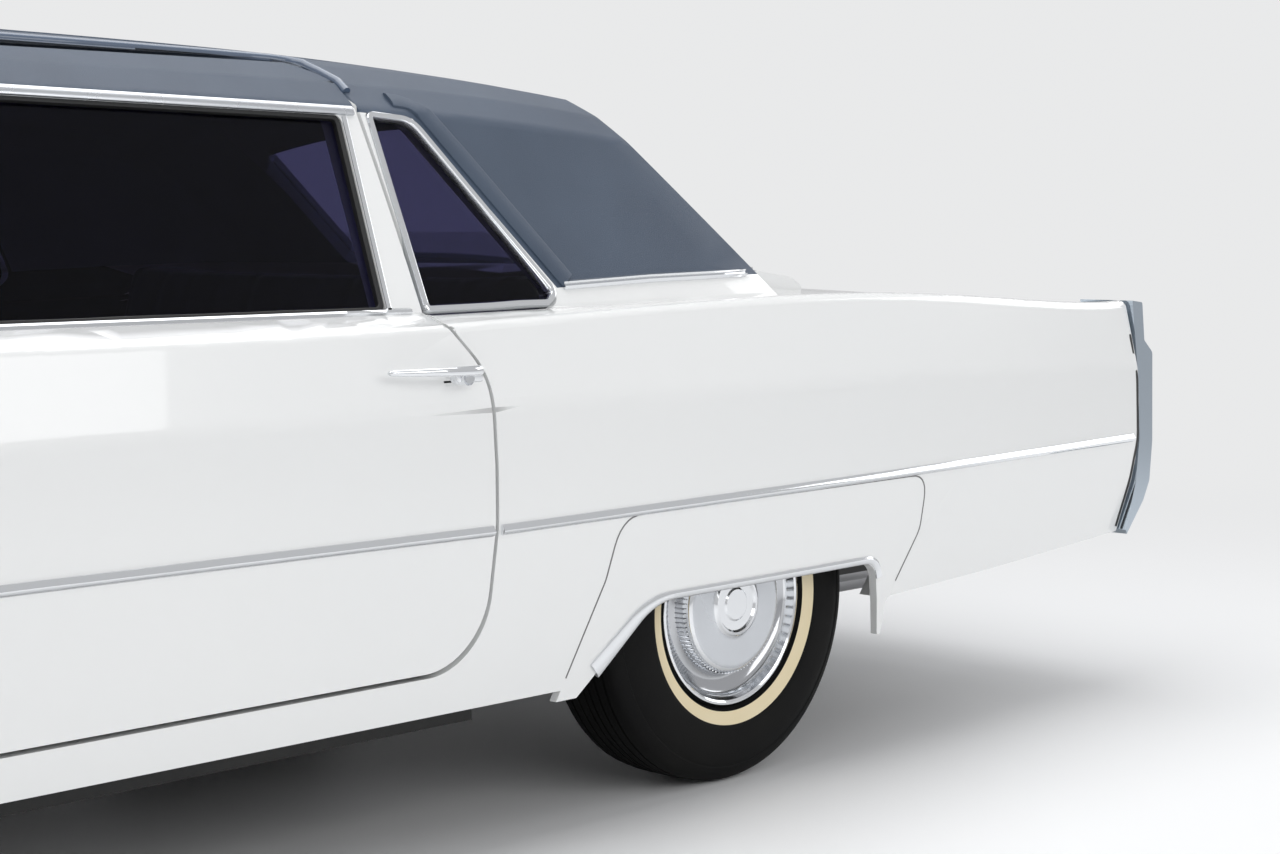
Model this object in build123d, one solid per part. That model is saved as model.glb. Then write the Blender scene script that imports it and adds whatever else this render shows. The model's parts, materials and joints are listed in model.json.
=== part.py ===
"""Long-wheelbase six-light limousine: body, opening panels, running gear and cabin.

Frame: +X forward, +Y to the car's left, +Z up; origin on the ground under the
middle of the car's length and width. All sizes are millimetres.
"""
from build123d import *
from math import cos, pi, sin
import os

# Overall
length = 6210
wheelbase = 3805
rear_overhang = 1500
track = 1588
rear_axle_x = -length / 2 + rear_overhang
front_axle_x = rear_axle_x + wheelbase

# Wheels and tyres
tyre_radius = 358
tyre_width = 206
tyre_tread_width = 156
widest_radius = 279
rim_radius = 196
rim_width = 164
cover_radius = 203
cover_y = 98
hub_face = 32
spindle_radius = 22
drum_radius = 136
drum_depth = 42
fin_count = 24
cap_radius = 62
axle_z = tyre_radius
wheel_y = track / 2
kingpin_y = wheel_y - 92
kingpin_radius = 24

# Body walls and gaps
side_wall = 80
frame_wall = 45
top_wall = 28
end_wall = 40
hinge_y = 1015
panel_gap = 6
swing_gap = 8
fit_gap = 0.3
glass_thickness = 5
glass_inset = 14

# Stations along the car
tail_x = -2990
nose_x = 2960
front_hinge_x = 1500
rear_hinge_x = 428
rear_door_length = 1260
front_door_length = front_hinge_x - rear_hinge_x - panel_gap
belt_z = 962
sill_top_z = 353
rocker_bottom_z = 275
door_top_z = 1396
roof_split_y = 585
floor_z = 290
floor_thickness = 22
floor_top = floor_z + floor_thickness + fit_gap
cowl_x = 1690
hood_front_x = 2915
trunk_front_x = -2330
trunk_back_x = -2945

# Lower body sections, one row per station from tail to nose: x, then (y, z) of the
# sill, the moulding line, the upper side, the fender ridge, the deck edge, and crown z.
lower_sections = [
    (tail_x, (905, 240), (955, 600), (955, 770), (932, 932), (800, 912), 925),
    (-2400, (930, 240), (986, 600), (986, 790), (956, 952), (812, 935), 962),
    (-1605, (950, 240), (1010, 598), (1009, 800), (970, 972), (830, 962), 990),
    (-700, (958, 240), (1013, 596), (1011, 800), (981, 940), (925, 965), 1000),
    (500, (960, 240), (1014, 596), (1012, 800), (982, 938), (925, 965), 1000),
    (1500, (955, 240), (1010, 594), (1009, 800), (976, 938), (900, 955), 985),
    (2200, (945, 240), (1000, 590), (1000, 790), (962, 930), (815, 915), 955),
    (nose_x, (925, 240), (968, 585), (968, 770), (942, 905), (800, 888), 915),
]
lower_radii = (250, 160, 22)

# Cabin sections: x, then (y, z) of the base, belt, rail, roof shoulder, roof edge, and crown z.
cabin_sections = [
    (1900, (940, 880), (925, 965), (790, 1280), (722, 1322), (620, 1355), 1395),
    (1000, (940, 880), (925, 965), (768, 1322), (706, 1364), (606, 1402), 1443),
    (100, (940, 880), (925, 965), (762, 1329), (702, 1372), (600, 1412), 1468),
    (-725, (940, 880), (925, 965), (770, 1316), (708, 1360), (612, 1397), 1453),
    (-1250, (935, 880), (920, 968), (778, 1285), (714, 1332), (615, 1370), 1425),
    (-1650, (925, 880), (912, 972), (786, 1235), (722, 1282), (620, 1322), 1378),
    (-2250, (915, 880), (905, 975), (800, 1130), (738, 1172), (630, 1212), 1270),
]
cabin_radii = (30, 45, 60)

# Screens: each is a cylinder whose axis climbs along the glass: x and z of the
# lower and upper middle of the glass, and the radius across the car.
windshield = ((1625, 985), (1075, 1435), 2850)
backlight = ((-2073, 1010), (-1604, 1346), 1800)


def face_of(points, radii=0, plane=Plane.XY):
    """Face inside a closed outline with one radius or a list of corner radii."""
    wire = FilletPolyline(*points, radius=radii, close=True) if radii else Polyline(*points, close=True)
    return plane * Face(Wire(wire.edges()))


def side_prism(points, y0, y1, radii=0):
    """Solid with its outline in X and Z, reaching from y0 to y1."""
    plane = Plane(origin=(0, y0, 0), x_dir=(1, 0, 0), z_dir=(0, -1, 0))
    return extrude(face_of(points, radii, plane), amount=y1 - y0, dir=(0, 1, 0))


def end_prism(points, x0, x1, radii=0):
    """Solid with its outline in Y and Z, reaching from x0 to x1."""
    return extrude(face_of(points, radii, Plane.YZ.offset(x0)), amount=x1 - x0, dir=(1, 0, 0))


def plan_prism(points, z0, z1, radii=0):
    """Solid with its outline in X and Y, reaching from z0 to z1."""
    return extrude(face_of(points, radii, Plane.XY.offset(z0)), amount=z1 - z0, dir=(0, 0, 1))


def block(x0, x1, y0, y1, z0, z1):
    """Box between opposite corners."""
    return Pos((x0 + x1) / 2, (y0 + y1) / 2, (z0 + z1) / 2) * Box(abs(x1 - x0), abs(y1 - y0), abs(z1 - z0))


def rod(start, end, radius):
    """Round bar between two points."""
    axis = Vector(*end) - Vector(*start)
    return extrude(Plane(origin=start, z_dir=axis) * Circle(radius), amount=axis.length)


def turned(points, origin, axis=(0, 1, 0), radii=0):
    """Solid of revolution: outline points give the distance along the axis and the radius."""
    direction = Vector(*axis)
    upright = Vector(0, 0, 1) if abs(direction.Z) < 0.5 else Vector(1, 0, 0)
    plane = Plane(origin=origin, x_dir=axis, z_dir=direction.cross(upright))
    return revolve(face_of(points, radii, plane), Axis(origin, axis), 360)


def tube_path(points, radius, bend):
    """Round tube along straight runs joined by tangent arcs."""
    path = FilletPolyline(*points, radius=bend) if len(points) > 2 else Polyline(*points)
    start = Vector(*points[0])
    return sweep(Plane(origin=start, z_dir=Vector(*points[1]) - start) * Circle(radius), Wire(path.edges()))


def other_side(shape):
    """The same shape on the other side of the car."""
    return mirror(shape, Plane.XZ)


def both_sides(shape):
    """A shape and its mirror image, kept as separate solids."""
    return Compound(shape.solids() + other_side(shape).solids())


def largest(shape):
    """The largest solid of a cut shape."""
    return max(shape.solids(), key=lambda solid: solid.volume)


def section(x, corners, radii, crown_z):
    """Closed body section in the plane X = x: straight flanks, rounded corners, one crown arc."""
    left = FilletPolyline(*corners, radius=radii)
    right = left.mirror(Plane.YZ)
    top_y, top_z = corners[-1]
    bottom_y, bottom_z = corners[0]
    crown = ThreePointArc((top_y, top_z), (0, crown_z), (-top_y, top_z))
    base = Line((-bottom_y, bottom_z), (bottom_y, bottom_z))
    return Plane.YZ.offset(x) * Face(Wire(left.edges() + [crown] + right.edges() + [base]))


def lower_body(side=0, top=0, end=0, drop=0):
    """Lower body volume, drawn in by the given wall thicknesses."""
    faces = []
    for x, sill, moulding, upper, ridge, deck, crown_z in lower_sections:
        x = min(max(x, tail_x + end), nose_x - end)
        corners = [(sill[0] - side, sill[1] - drop)]
        corners += [(y - side, z) for y, z in (moulding, upper)]
        corners += [(y - side, z - top) for y, z in (ridge, deck)]
        faces.append(section(x, corners, lower_radii, crown_z - top))
    return loft(faces)


def cabin_volume(wall=0, roof=0):
    """Cabin volume before the screens are cut, drawn in by the wall and roof thicknesses."""
    faces = []
    for x, base, belt, rail, shoulder, edge, crown_z in cabin_sections:
        corners = [(y - wall, z) for y, z in (base, belt)]
        corners += [(y - wall, z - roof) for y, z in (rail, shoulder, edge)]
        faces.append(section(x, corners, cabin_radii, crown_z - roof))
    return loft(faces)


def screen_drum(screen, inset=0):
    """Cylinder that holds everything behind a screen's surface, less an inset."""
    (x0, z0), (x1, z1), radius = screen
    run = Vector(x1 - x0, 0, z1 - z0)
    outward = Vector(run.Z, 0, -run.X).normalized()
    if outward.Z < 0:
        outward = outward * -1
    reach = 3000
    centre = Vector(x0, 0, z0) - outward * radius - run.normalized() * reach
    return extrude(Plane(origin=centre, z_dir=run) * Circle(radius - inset), amount=2 * reach + run.length)


def screen_plane(screen):
    """Plane on a screen's lower middle: local x across the car, local y up the glass."""
    (x0, z0), (x1, z1), radius = screen
    up = Vector(x1 - x0, 0, z1 - z0).normalized()
    outward = Vector(up.Z, 0, -up.X)
    across = (0, 1, 0)
    if outward.Z < 0:
        outward = outward * -1
        across = (0, -1, 0)
    return Plane(origin=(x0, 0, z0), x_dir=across, z_dir=outward)


def screen_opening(screen, outline, radii):
    """Prism through a screen's frame: outline in half widths and heights up the glass."""
    points = outline + [(-y, v) for y, v in reversed(outline)]
    face = face_of(points, radii + radii[::-1], screen_plane(screen))
    return extrude(face, amount=260, both=True)


# Outlines in X and Z of what is cut from the body sides, corner by corner.
# Lower edge of the body, with the slanted tail and nose.
body_outline = [(2995, 1100), (2995, 880), (2950, 600), (2905, 345), (2640, 290), (2500, rocker_bottom_z),
                (-1900, rocker_bottom_z), (-2020, 335), (-2394, 350), (-2944, 380), (-2984, 500),
                (-2996, 600), (-2986, 740), (-2950, 945), (-2950, 1100)]
front_arch = [(front_axle_x - 430, 150), (front_axle_x - 395, 420), (front_axle_x - 300, 700),
              (front_axle_x + 300, 700), (front_axle_x + 395, 420), (front_axle_x + 430, 150)]
front_arch_radii = [0, 220, 230, 230, 220, 0]
rear_arch = [(rear_axle_x + 585, 200), (rear_axle_x + 344, 412), (rear_axle_x - 345, 414),
             (rear_axle_x - 370, 330), (rear_axle_x - 400, 200)]
rear_arch_radii = [0, 150, 50, 0, 0]
skirt_outline = [(rear_axle_x + 575, 255), (rear_axle_x + 480, 470), (rear_axle_x + 455, 586),
                 (rear_axle_x - 490, 588), (rear_axle_x - 490, 470), (rear_axle_x - 400, 320),
                 (rear_axle_x - 400, 255)]
skirt_radii = [0, 60, 75, 75, 60, 0, 0]
rear_window_outline = [(388, belt_z), (388, 1318), (-694, 1299), (-667, belt_z)]
front_window_outline = [(476, belt_z), (476, 1319), (925, 1308), (1318, belt_z)]
window_radii = [14, 14, 14, 14]
quarter_outline = [(-750, 1306), (-858, 1298), (-1086, 985), (-1060, belt_z), (-750, 958)]
quarter_radii = [8, 34, 22, 22, 8]
# Door edges as they swing: distance from the hinge line and height.
rear_door_edge = [(0, sill_top_z), (rear_door_length, sill_top_z), (rear_door_length, 700),
                  (rear_door_length - 9, 862), (1176, 946), (1184, 1318), (1224, door_top_z), (0, door_top_z)]
rear_door_radii = [0, 130, 0, 120, 0, 0, 20, 0]
front_door_edge = [(0, sill_top_z), (front_door_length, sill_top_z), (front_door_length, 900),
                   (front_door_length + 2, 965), (front_door_length + 22, 1318),
                   (front_door_length + 56, door_top_z), (0, door_top_z)]
front_door_radii = [0, 24, 0, 0, 0, 0, 0]
# Front door outline ahead, where it follows the windshield post.
front_door_outline = [(front_hinge_x, 300), (front_hinge_x, 951), (1372, 975), (895, door_top_z + 5),
                      (300, door_top_z + 5), (300, 300)]
rear_door_outline = [(rear_hinge_x, 300), (rear_hinge_x, door_top_z + 5), (-900, door_top_z + 5), (-900, 300)]
roof_edge = [(1400, 1600), (1400, 1376), (-738, 1376), (-738, 1306), (-858, 1298), (-1086, 998),
             (-1335, 1007), (-1620, 1012), (-2400, 1012), (-2400, 1600)]
windshield_outline = [(300, 48), (830, 195), (628, 672)]
windshield_radii = [0, 60, 40]
backlight_outline = [(200, 45), (565, 165), (510, 590)]
backlight_radii = [0, 60, 50]


def door_sweep(hinge_x, edge, radii, grow=0):
    """Space inside a door's hinge sweep: quarter turn of its edge about the hinge line."""
    lift = {sill_top_z: -grow, door_top_z: grow}
    grown = [(r + (grow if r > 0 else 0), z + lift.get(z, 0)) for r, z in edge]
    plane = Plane(origin=(hinge_x, hinge_y, 0), x_dir=(-1, 0, 0), z_dir=(0, 1, 0))
    profile = face_of(grown, radii, plane)
    return revolve(profile, Axis((hinge_x, hinge_y, 0), (0, 0, 1)), 90)


# Inner posts beside the doors: y and z, clear of the closed doors.
post_outline = [(912, floor_top), (912, 343), (884, 346), (906, 480), (920, 600), (920, 780), (890, 895), (872, 960),
                (714, 1286), (652, 1326), (588, 1350), (574, 1352), (574, 1500), (480, 1500), (480, 1330),
                (620, 1290), (672, 1262), (826, 945), (845, 870), (872, 780), (872, 600), (850, floor_top)]
partition_x = 395
door_inner_y = 872
door_ledge_z = 962
ledge_low_z = 895
post_width = 75
hinge_post_x = 1440
leaf_size = 30
plate_x = -3004
plate_z = 715
plate_width = 177.8
plate_height = 120.65
plate_hole_radius = 3.5


# Door handles: front end of the pull bar for each door, its height and size
handle_x = {"front": 675, "rear": -580}
handle_z = 872
handle_length = 205
handle_reach = 1038
# Vent on the deck behind the rear glass: outline in X and Z, half width and its cell openings
vent_outline = [(-2318, 950), (-2318, 966), (-2284, 986), (-2160, 1004), (-2143, 1001), (-2143, 950)]
vent_half = 470
vent_cell = (26, 46)
# Door mirror: where its stalk stands, and the head's size
mirror_x = 1300
mirror_head = (34, 120, 84)


def door_handle(x):
    """Pull bar on two feet with its button housing, sunk a little in the door's skin."""
    bar = plan_prism([(x, 1000), (x, 1018), (x - 30, handle_reach - 6), (x - 150, handle_reach),
                      (x - handle_length, handle_reach - 12), (x - handle_length, 1000), (x - handle_length + 22, 1000),
                      (x - handle_length + 22, handle_reach - 22), (x - 150, handle_reach - 11),
                      (x - 30, handle_reach - 16), (x - 14, 1000)], handle_z - 7, handle_z + 7)
    housing = block(x - handle_length + 4, x - handle_length + 60, 1000, 1024, handle_z - 24, handle_z + 4)
    return bar + housing


def mirror_on_stalk():
    """Door mirror: a plain head on a short stalk from the door's ledge."""
    depth, width, height = mirror_head
    stalk = rod((mirror_x, 950, 935), (mirror_x - 8, 990, 1030), 9)
    head = Pos(mirror_x - 10, 1000, 1050) * Box(depth, width, height)
    return stalk + fillet(head.edges().filter_by(Axis.X), 30)


def deck_vent():
    """Raised vent across the deck with two groups of open cells."""
    vent = side_prism(vent_outline, -vent_half, vent_half)
    cells = Pos(-2222, 0, 995) * GridLocations(34, 56, 4, 3) * Box(vent_cell[0], vent_cell[1], 46)
    for y in (-vent_half + 105, vent_half - 105):
        vent -= [Pos(0, y, 0) * cell for cell in cells]
    return vent


def door(hinge_x, edge, radii, outline, window, shell):
    """Left door: the full wall thickness, with its window cut through."""
    space = door_sweep(hinge_x, edge, radii) & side_prism(outline, roof_split_y, 1100)
    space -= block(-1000, 1600, 0, door_inner_y, 300, door_ledge_z)
    panel = largest(shell & space)
    return largest(panel - side_prism(window, 300, 1100, window_radii))


def build_body():
    """Body shell, roof, fenders, doors, hood, trunk lid and skirts, split at their real gaps."""
    drums = screen_drum(windshield) & screen_drum(backlight)
    inner_drums = screen_drum(windshield, frame_wall) & screen_drum(backlight, frame_wall)
    outside = side_prism(body_outline, -1100, 1100)
    lower = lower_body() & outside
    cabin = cabin_volume() & drums
    room = lower_body(side_wall, top_wall, end_wall, 60)
    fit_room = lower_body(side_wall + fit_gap, top_wall + fit_gap, end_wall + fit_gap, 60)
    cabin_room = cabin_volume(frame_wall, top_wall) & inner_drums
    shell = lower + cabin - room - cabin_room
    parts = {}
    left = {
        "front": door(front_hinge_x, front_door_edge, front_door_radii, front_door_outline,
                      front_window_outline, shell),
        "rear": door(rear_hinge_x, rear_door_edge, rear_door_radii, rear_door_outline,
                     rear_window_outline, shell),
    }
    gap = panel_gap
    front_space = [(front_hinge_x + gap, sill_top_z - gap), (front_hinge_x + gap, 951 + gap),
                   (1372 + gap, 975 + gap), (895 + gap, door_top_z + gap), (rear_hinge_x - 30, door_top_z + gap),
                   (rear_hinge_x - 30, sill_top_z - gap)]
    door_space = side_prism(front_space, roof_split_y - gap, 1100)
    door_space += (door_sweep(rear_hinge_x, rear_door_edge, rear_door_radii, swing_gap)
                   & block(-900, rear_hinge_x, roof_split_y - gap, 1100, 300, 1450))
    door_space -= block(-1000, 1600, 0, door_inner_y - gap, 300, door_ledge_z - gap)
    side_cuts = door_space + side_prism(quarter_outline, 300, 1100, quarter_radii)
    side_cuts += side_prism(rear_arch, 500, 1100, rear_arch_radii)
    side_cuts += side_prism(skirt_outline, 500, 1100, skirt_radii)
    side_cuts += side_prism(front_arch, 500, 1100, front_arch_radii)
    body = shell - side_cuts - other_side(side_cuts)
    body -= screen_opening(windshield, windshield_outline, windshield_radii)
    body -= screen_opening(backlight, backlight_outline, backlight_radii)
    hood_space = plan_prism([(cowl_x, 792), (hood_front_x, 772), (hood_front_x, -772), (cowl_x, -792)], 840, 1100)
    trunk_space = plan_prism([(trunk_front_x, 772), (trunk_back_x, 752), (trunk_back_x, -752),
                              (trunk_front_x, -772)], 840, 1100)
    hinge_leaf = block(0, leaf_size, 540, 540 + leaf_size, -24, -4)
    leaves = Pos(cowl_x - gap + fit_gap, 0, 968) * hinge_leaf
    parts["hood"] = largest(shell & hood_space) + leaves + other_side(leaves)
    leaves = Pos(trunk_front_x + gap - fit_gap - leaf_size, 0, 956) * hinge_leaf
    parts["trunk_lid"] = largest(shell & trunk_space) + leaves + other_side(leaves)
    body -= plan_prism([(cowl_x - gap, 798), (hood_front_x + gap, 778), (hood_front_x + gap, -778),
                        (cowl_x - gap, -798)], 840, 1100)
    body -= plan_prism([(trunk_front_x + gap, 778), (trunk_back_x - gap, 758), (trunk_back_x - gap, -758),
                        (trunk_front_x + gap, -778)], 840, 1100)
    roof_space = side_prism(roof_edge, -1100, 1100)
    parts["roof"] = largest(body & roof_space)
    rest = body - roof_space
    front_space = block(front_hinge_x + gap, 3100, -1100, 1100, 200, 1100)
    front_space -= block(front_hinge_x, cowl_x - gap, -800, 800, 800, 1100)
    parts["front_fenders"] = Compound((rest & front_space).solids())
    posts = end_prism(post_outline, partition_x, partition_x + post_width) & (room + cabin_room)
    pillar = end_prism(post_outline, hinge_post_x, hinge_post_x + 60)
    posts += pillar & block(1400, 1600, 0, 1000, 200, ledge_low_z)
    posts += pillar & block(1400, 1600, 0, door_inner_y - gap, ledge_low_z, 950)
    for x in (rear_hinge_x - leaf_size - 2, front_hinge_x - leaf_size - 2):
        for z in (430, 760):
            posts += block(x, x + leaf_size, 860, 1000, z, z + 40) & fit_room
    rest = rest - front_space
    rest = rest + posts + other_side(posts)
    rest += block(plate_x, -2960, -170, 170, plate_z - 75, plate_z + 75)
    for y in (-plate_width / 2, plate_width / 2):
        for z in (-plate_height / 2, plate_height / 2):
            rest -= rod((plate_x - 1, y, plate_z + z), (-2940, y, plate_z + z), plate_hole_radius)
    rest += deck_vent()
    parts["body_shell"] = Compound(rest.solids())
    thin = (lower_body() - lower_body(24, 0, 0, 60)) & side_prism(skirt_outline, 500, 1100, skirt_radii)
    skirt = thin - side_prism(rear_arch, 500, 1100, rear_arch_radii)
    parts["fender_skirts"] = both_sides(largest(skirt))
    for place, panel in left.items():
        panel = panel + door_handle(handle_x[place])
        if place == "front":
            panel = panel + mirror_on_stalk()
        parts[f"door_{place}_left"] = panel
        parts[f"door_{place}_right"] = other_side(panel)
    glass = cabin_volume(glass_inset) - cabin_volume(glass_inset + glass_thickness)
    windows = {"front": (front_window_outline, window_radii), "rear": (rear_window_outline, window_radii)}
    for place, (outline, radii) in windows.items():
        pane = largest(glass & side_prism(outline, 300, 1100, radii))
        parts[f"door_glass_{place}_left"] = pane
        parts[f"door_glass_{place}_right"] = other_side(pane)
    quarter = largest(glass & side_prism(quarter_outline, 300, 1100, quarter_radii))
    parts["quarter_windows"] = both_sides(quarter)
    for name, screen, outline, radii in (("windshield", windshield, windshield_outline, windshield_radii),
                                         ("rear_window", backlight, backlight_outline, backlight_radii)):
        sheet = screen_drum(screen, glass_inset) - screen_drum(screen, glass_inset + glass_thickness)
        parts[name] = largest(sheet & screen_opening(screen, outline, radii))
    return parts, fit_room, cabin_room


def wheel_parts():
    """Wheel with its cover, and tyre, turned about the wheel's axle at the origin."""
    half = rim_width / 2
    wheel = turned([(104, 0), (104, 44), (cover_y, cap_radius), (94, cap_radius + 4), (cover_y - 2, drum_radius - 6),
                    (cover_y - 8, drum_radius), (cover_y - drum_depth, drum_radius + 5), (50, 158), (56, 176),
                    (half, rim_radius - 2), (half + 6, cover_radius), (half - 2, cover_radius + 4),
                    (half - 8, rim_radius), (8 - half, rim_radius), (2 - half, cover_radius + 4),
                    (-half, cover_radius + 3), (-half, rim_radius - 10), (26, rim_radius - 14), (hub_face, 150),
                    (hub_face, 0)],
                   (0, 0, 0))
    bead = rim_radius + fit_gap
    shoulder = tyre_tread_width / 2
    wide = tyre_width / 2
    side = [(-half + 8.3, bead), (-wide, widest_radius), (-shoulder - 6, 343), (-shoulder + 6, tyre_radius)]
    side += [(-y, r) for y, r in reversed(side)]
    tyre = turned(side, (0, 0, 0))
    fin = block(-2, 2, cover_y - drum_depth + 4, cover_y - 10, drum_radius - 3, drum_radius + 5)
    wheel = wheel + [Rot(0, k * 360 / fin_count, 0) * fin for k in range(fin_count)]
    return wheel, tyre


def at_wheel(shape, x, y):
    """Place a wheel part, with its cover facing out."""
    if y < 0:
        shape = mirror(shape, Plane.XZ)
    return Pos(x, y, axle_z) * shape


def build_wheels():
    """Wheels with their covers, tyres, and the knuckles that steer the front pair."""
    parts = {}
    wheel, tyre = wheel_parts()
    for name, x, y in (("front_left", front_axle_x, wheel_y), ("front_right", front_axle_x, -wheel_y),
                       ("rear_left", rear_axle_x, wheel_y), ("rear_right", rear_axle_x, -wheel_y)):
        parts[f"wheel_{name}"] = at_wheel(wheel, x, y)
        parts[f"tyre_{name}"] = at_wheel(tyre, x, y)
    x = front_axle_x
    knuckle = rod((x, kingpin_y, axle_z - 118), (x, kingpin_y, axle_z + 118), kingpin_radius)
    knuckle += rod((x, kingpin_y, axle_z), (x, wheel_y + hub_face - fit_gap, axle_z), spindle_radius)
    knuckle += rod((x, kingpin_y + 12, axle_z), (x, wheel_y + 20, axle_z), 130)
    knuckle += block(x - 160, x, kingpin_y - 14, kingpin_y + 14, axle_z - 70, axle_z - 44)
    parts["knuckle_left"] = knuckle
    parts["knuckle_right"] = other_side(knuckle)
    return parts


# Frame rails: inner and outer y, and bottom and top z, in the middle, ahead and behind.
rail_top = floor_z
rail_low = rail_top - 105
middle_rail_y = (640, 715)
front_rail_y = (350, 430)
front_rail_z = (300, 380)
front_rail_end = 2900
rear_rail_y = (560, 640)
rear_rail_z = (320, 398)
rear_rail_end = -2900
rear_frame_x = -2080
# The rails and the floor climb over the rear axle.
kick_z = 500
sheet = 12
riser_x = -1180
# Crossmembers: x range, half width, z range.
crossmembers = [
    (2820, 2880, 425, *front_rail_z),
    (1210, 1290, 715, rail_top - 40, rail_top),
    (200, 270, 645, rail_top - 40, rail_top),
    (-1050, -960, 715, rail_top - 40, rail_top),
]
rear_crossmembers = [
    (-2245, -2195, 565, 340, rear_rail_z[1]),
    (rear_rail_end, -2850, 630, 330, rear_rail_z[1]),
]
wheelhouse_radius = 404
wheelhouse_y = 646
spring_y = 498
link_y = 520
link_radius = 15


def framed(rail, members):
    """Both side rails joined by their crossmembers."""
    frame = rail + other_side(rail)
    for x0, x1, half, z0, z1 in members:
        frame += block(x0, x1, -half, half, z0, z1)
    return frame


def build_chassis(fit_room):
    """Frames, floors, suspension, axle, engine, exhaust and tank."""
    parts = {}
    inner, outer = middle_rail_y
    ahead, ahead_outer = front_rail_y
    low, high = front_rail_z
    rail = block(-1050, 1300, inner, outer, rail_low, rail_top)
    rail += plan_prism([(1210, inner), (1300, outer), (1560, ahead_outer), (1560, ahead), (1470, ahead)],
                       rail_low, rail_top)
    rail += side_prism([(1500, rail_low), (1500, rail_top), (1670, rail_top), (1850, high), (front_rail_end, high),
                        (front_rail_end, low), (1880, low), (1700, rail_low)], ahead, ahead_outer)
    low, high = rear_rail_z
    rail += side_prism([(-960, rail_low), (-960, rail_top), (-1206, rail_top), (-1330, kick_z), (-1960, kick_z),
                        (-2072, high), (rear_frame_x, high), (rear_frame_x, low), (-2042, low), (-1930, 420),
                        (-1310, 420), (-1186, rail_low)], *rear_rail_y)
    parts["chassis_frame"] = framed(rail, crossmembers)
    parts["rear_frame"] = framed(block(rear_rail_end, rear_frame_x - fit_gap, *rear_rail_y, low, high),
                                 rear_crossmembers)

    wheelhouse = Pos(rear_axle_x, 0, axle_z) * Rot(90, 0, 0) * Cylinder(wheelhouse_radius, 2400)
    hollow = Pos(rear_axle_x, 0, axle_z) * Rot(90, 0, 0) * Cylinder(wheelhouse_radius - sheet, 2400)
    drop_x = rear_frame_x - sheet
    pan = block(riser_x, 1640, -900, 900, floor_z, floor_z + floor_thickness)
    pan += block(riser_x - 22, riser_x, -900, 900, floor_z, kick_z + sheet)
    pan += block(drop_x, riser_x - 22, -900, 900, kick_z, kick_z + sheet)
    pan += block(drop_x, rear_frame_x, -900, 900, high, kick_z + sheet)
    pan += block(1640, 1660, -860, 860, floor_z, 930)
    pan += end_prism([(-150, floor_z), (-110, 420), (110, 420), (150, floor_z)], riser_x, 1640)
    pan += end_prism([(-210, floor_z), (-170, 560), (170, 560), (210, floor_z)], 1150, 1660)
    pan -= end_prism([(-136, floor_z - 1), (-98, 408), (98, 408), (136, floor_z - 1)], riser_x - 30, 1700)
    pan -= end_prism([(-196, floor_z - 1), (-158, 548), (158, 548), (196, floor_z - 1)], 1162, 1700)
    pan += block(-1560, -1540, -860, 860, kick_z, 950)
    for side in (1, -1):
        inner = side * wheelhouse_y
        wall = side * (wheelhouse_y + sheet)
        pan -= hollow & block(-2100, -1100, wall, side * 1000, 280, 800)
        pan += (wheelhouse - hollow) & block(-2100, -1100, inner, side * 1000, 470, 800)
        pan += wheelhouse & block(-2100, -1100, inner, wall, 470, 800)
    parts["floor_pan"] = largest(pan & fit_room)
    parts["trunk_floor"] = largest(block(-2949, drop_x - fit_gap, -900, 900, high, high + sheet) & fit_room)

    x = front_axle_x
    front = block(x - 60, x + 60, -440, 440, 240, 300)
    for side in (1, -1):
        for z, half in ((axle_z - 108, 60), (axle_z + 96, 40)):
            arm = plan_prism([(x - 130, side * 360), (x + 130, side * 360), (x + half / 2, side * (kingpin_y - 8)),
                              (x - half / 2, side * (kingpin_y - 8))], z - 9, z + 9)
            front += arm
        front += block(x - 60, x + 60, side * 350, side * 440, 240, 500)
        front += rod((x, side * 520, axle_z - 100), (x, side * 520, axle_z + 90), 58)
        front -= rod((x, side * kingpin_y, 200), (x, side * kingpin_y, 500), kingpin_radius + 0.5)
    rails = block(1500, front_rail_end, *front_rail_y, 295, front_rail_z[1])
    front -= rails + other_side(rails)
    parts["front_suspension"] = front

    axle = rod((rear_axle_x, 0, axle_z), (rear_axle_x, wheel_y + hub_face - fit_gap, axle_z), 42)
    axle += rod((rear_axle_x, wheel_y - 62, axle_z), (rear_axle_x, wheel_y + 20, axle_z), 140)
    axle += rod((rear_axle_x, spring_y, axle_z), (rear_axle_x, spring_y, kick_z - fit_gap), 55)
    axle += block(rear_axle_x - 35, rear_axle_x + 35, link_y - 20, link_y + 20, axle_z - 78, axle_z)
    axle += rod((rear_axle_x, link_y, axle_z - 62), (-1052, link_y, axle_z - 96), link_radius)
    axle = axle + other_side(axle)
    axle += Pos(rear_axle_x, 0, axle_z) * Sphere(138)
    axle += rod((rear_axle_x + 100, 0, axle_z), (rear_axle_x + 230, 0, axle_z - 4), 55)
    parts["rear_axle"] = axle
    parts["driveshaft"] = rod((rear_axle_x + 235, 0, axle_z - 4), (1149, 0, 345), 42)

    engine = block(1760, 2480, -230, 230, 330, 640)
    engine += end_prism([(-120, 620), (-290, 640), (-330, 760), (-160, 840), (160, 840), (330, 760), (290, 640),
                         (120, 620)], 1790, 2440)
    engine += block(1900, 2330, -150, 150, 305, 340)
    engine += end_prism([(-110, 250), (-150, 380), (-120, 470), (120, 470), (150, 380), (110, 250)], 1300, 1770)
    engine += rod((1150, 0, 345), (1310, 0, 345), 345 - rail_top - fit_gap)
    engine += Pos(2100, 0, 872) * Cylinder(190, 64)
    parts["engine_block"] = engine
    parts["radiator"] = block(2700, 2760, -380, 380, front_rail_z[1] + fit_gap, 800)

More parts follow.
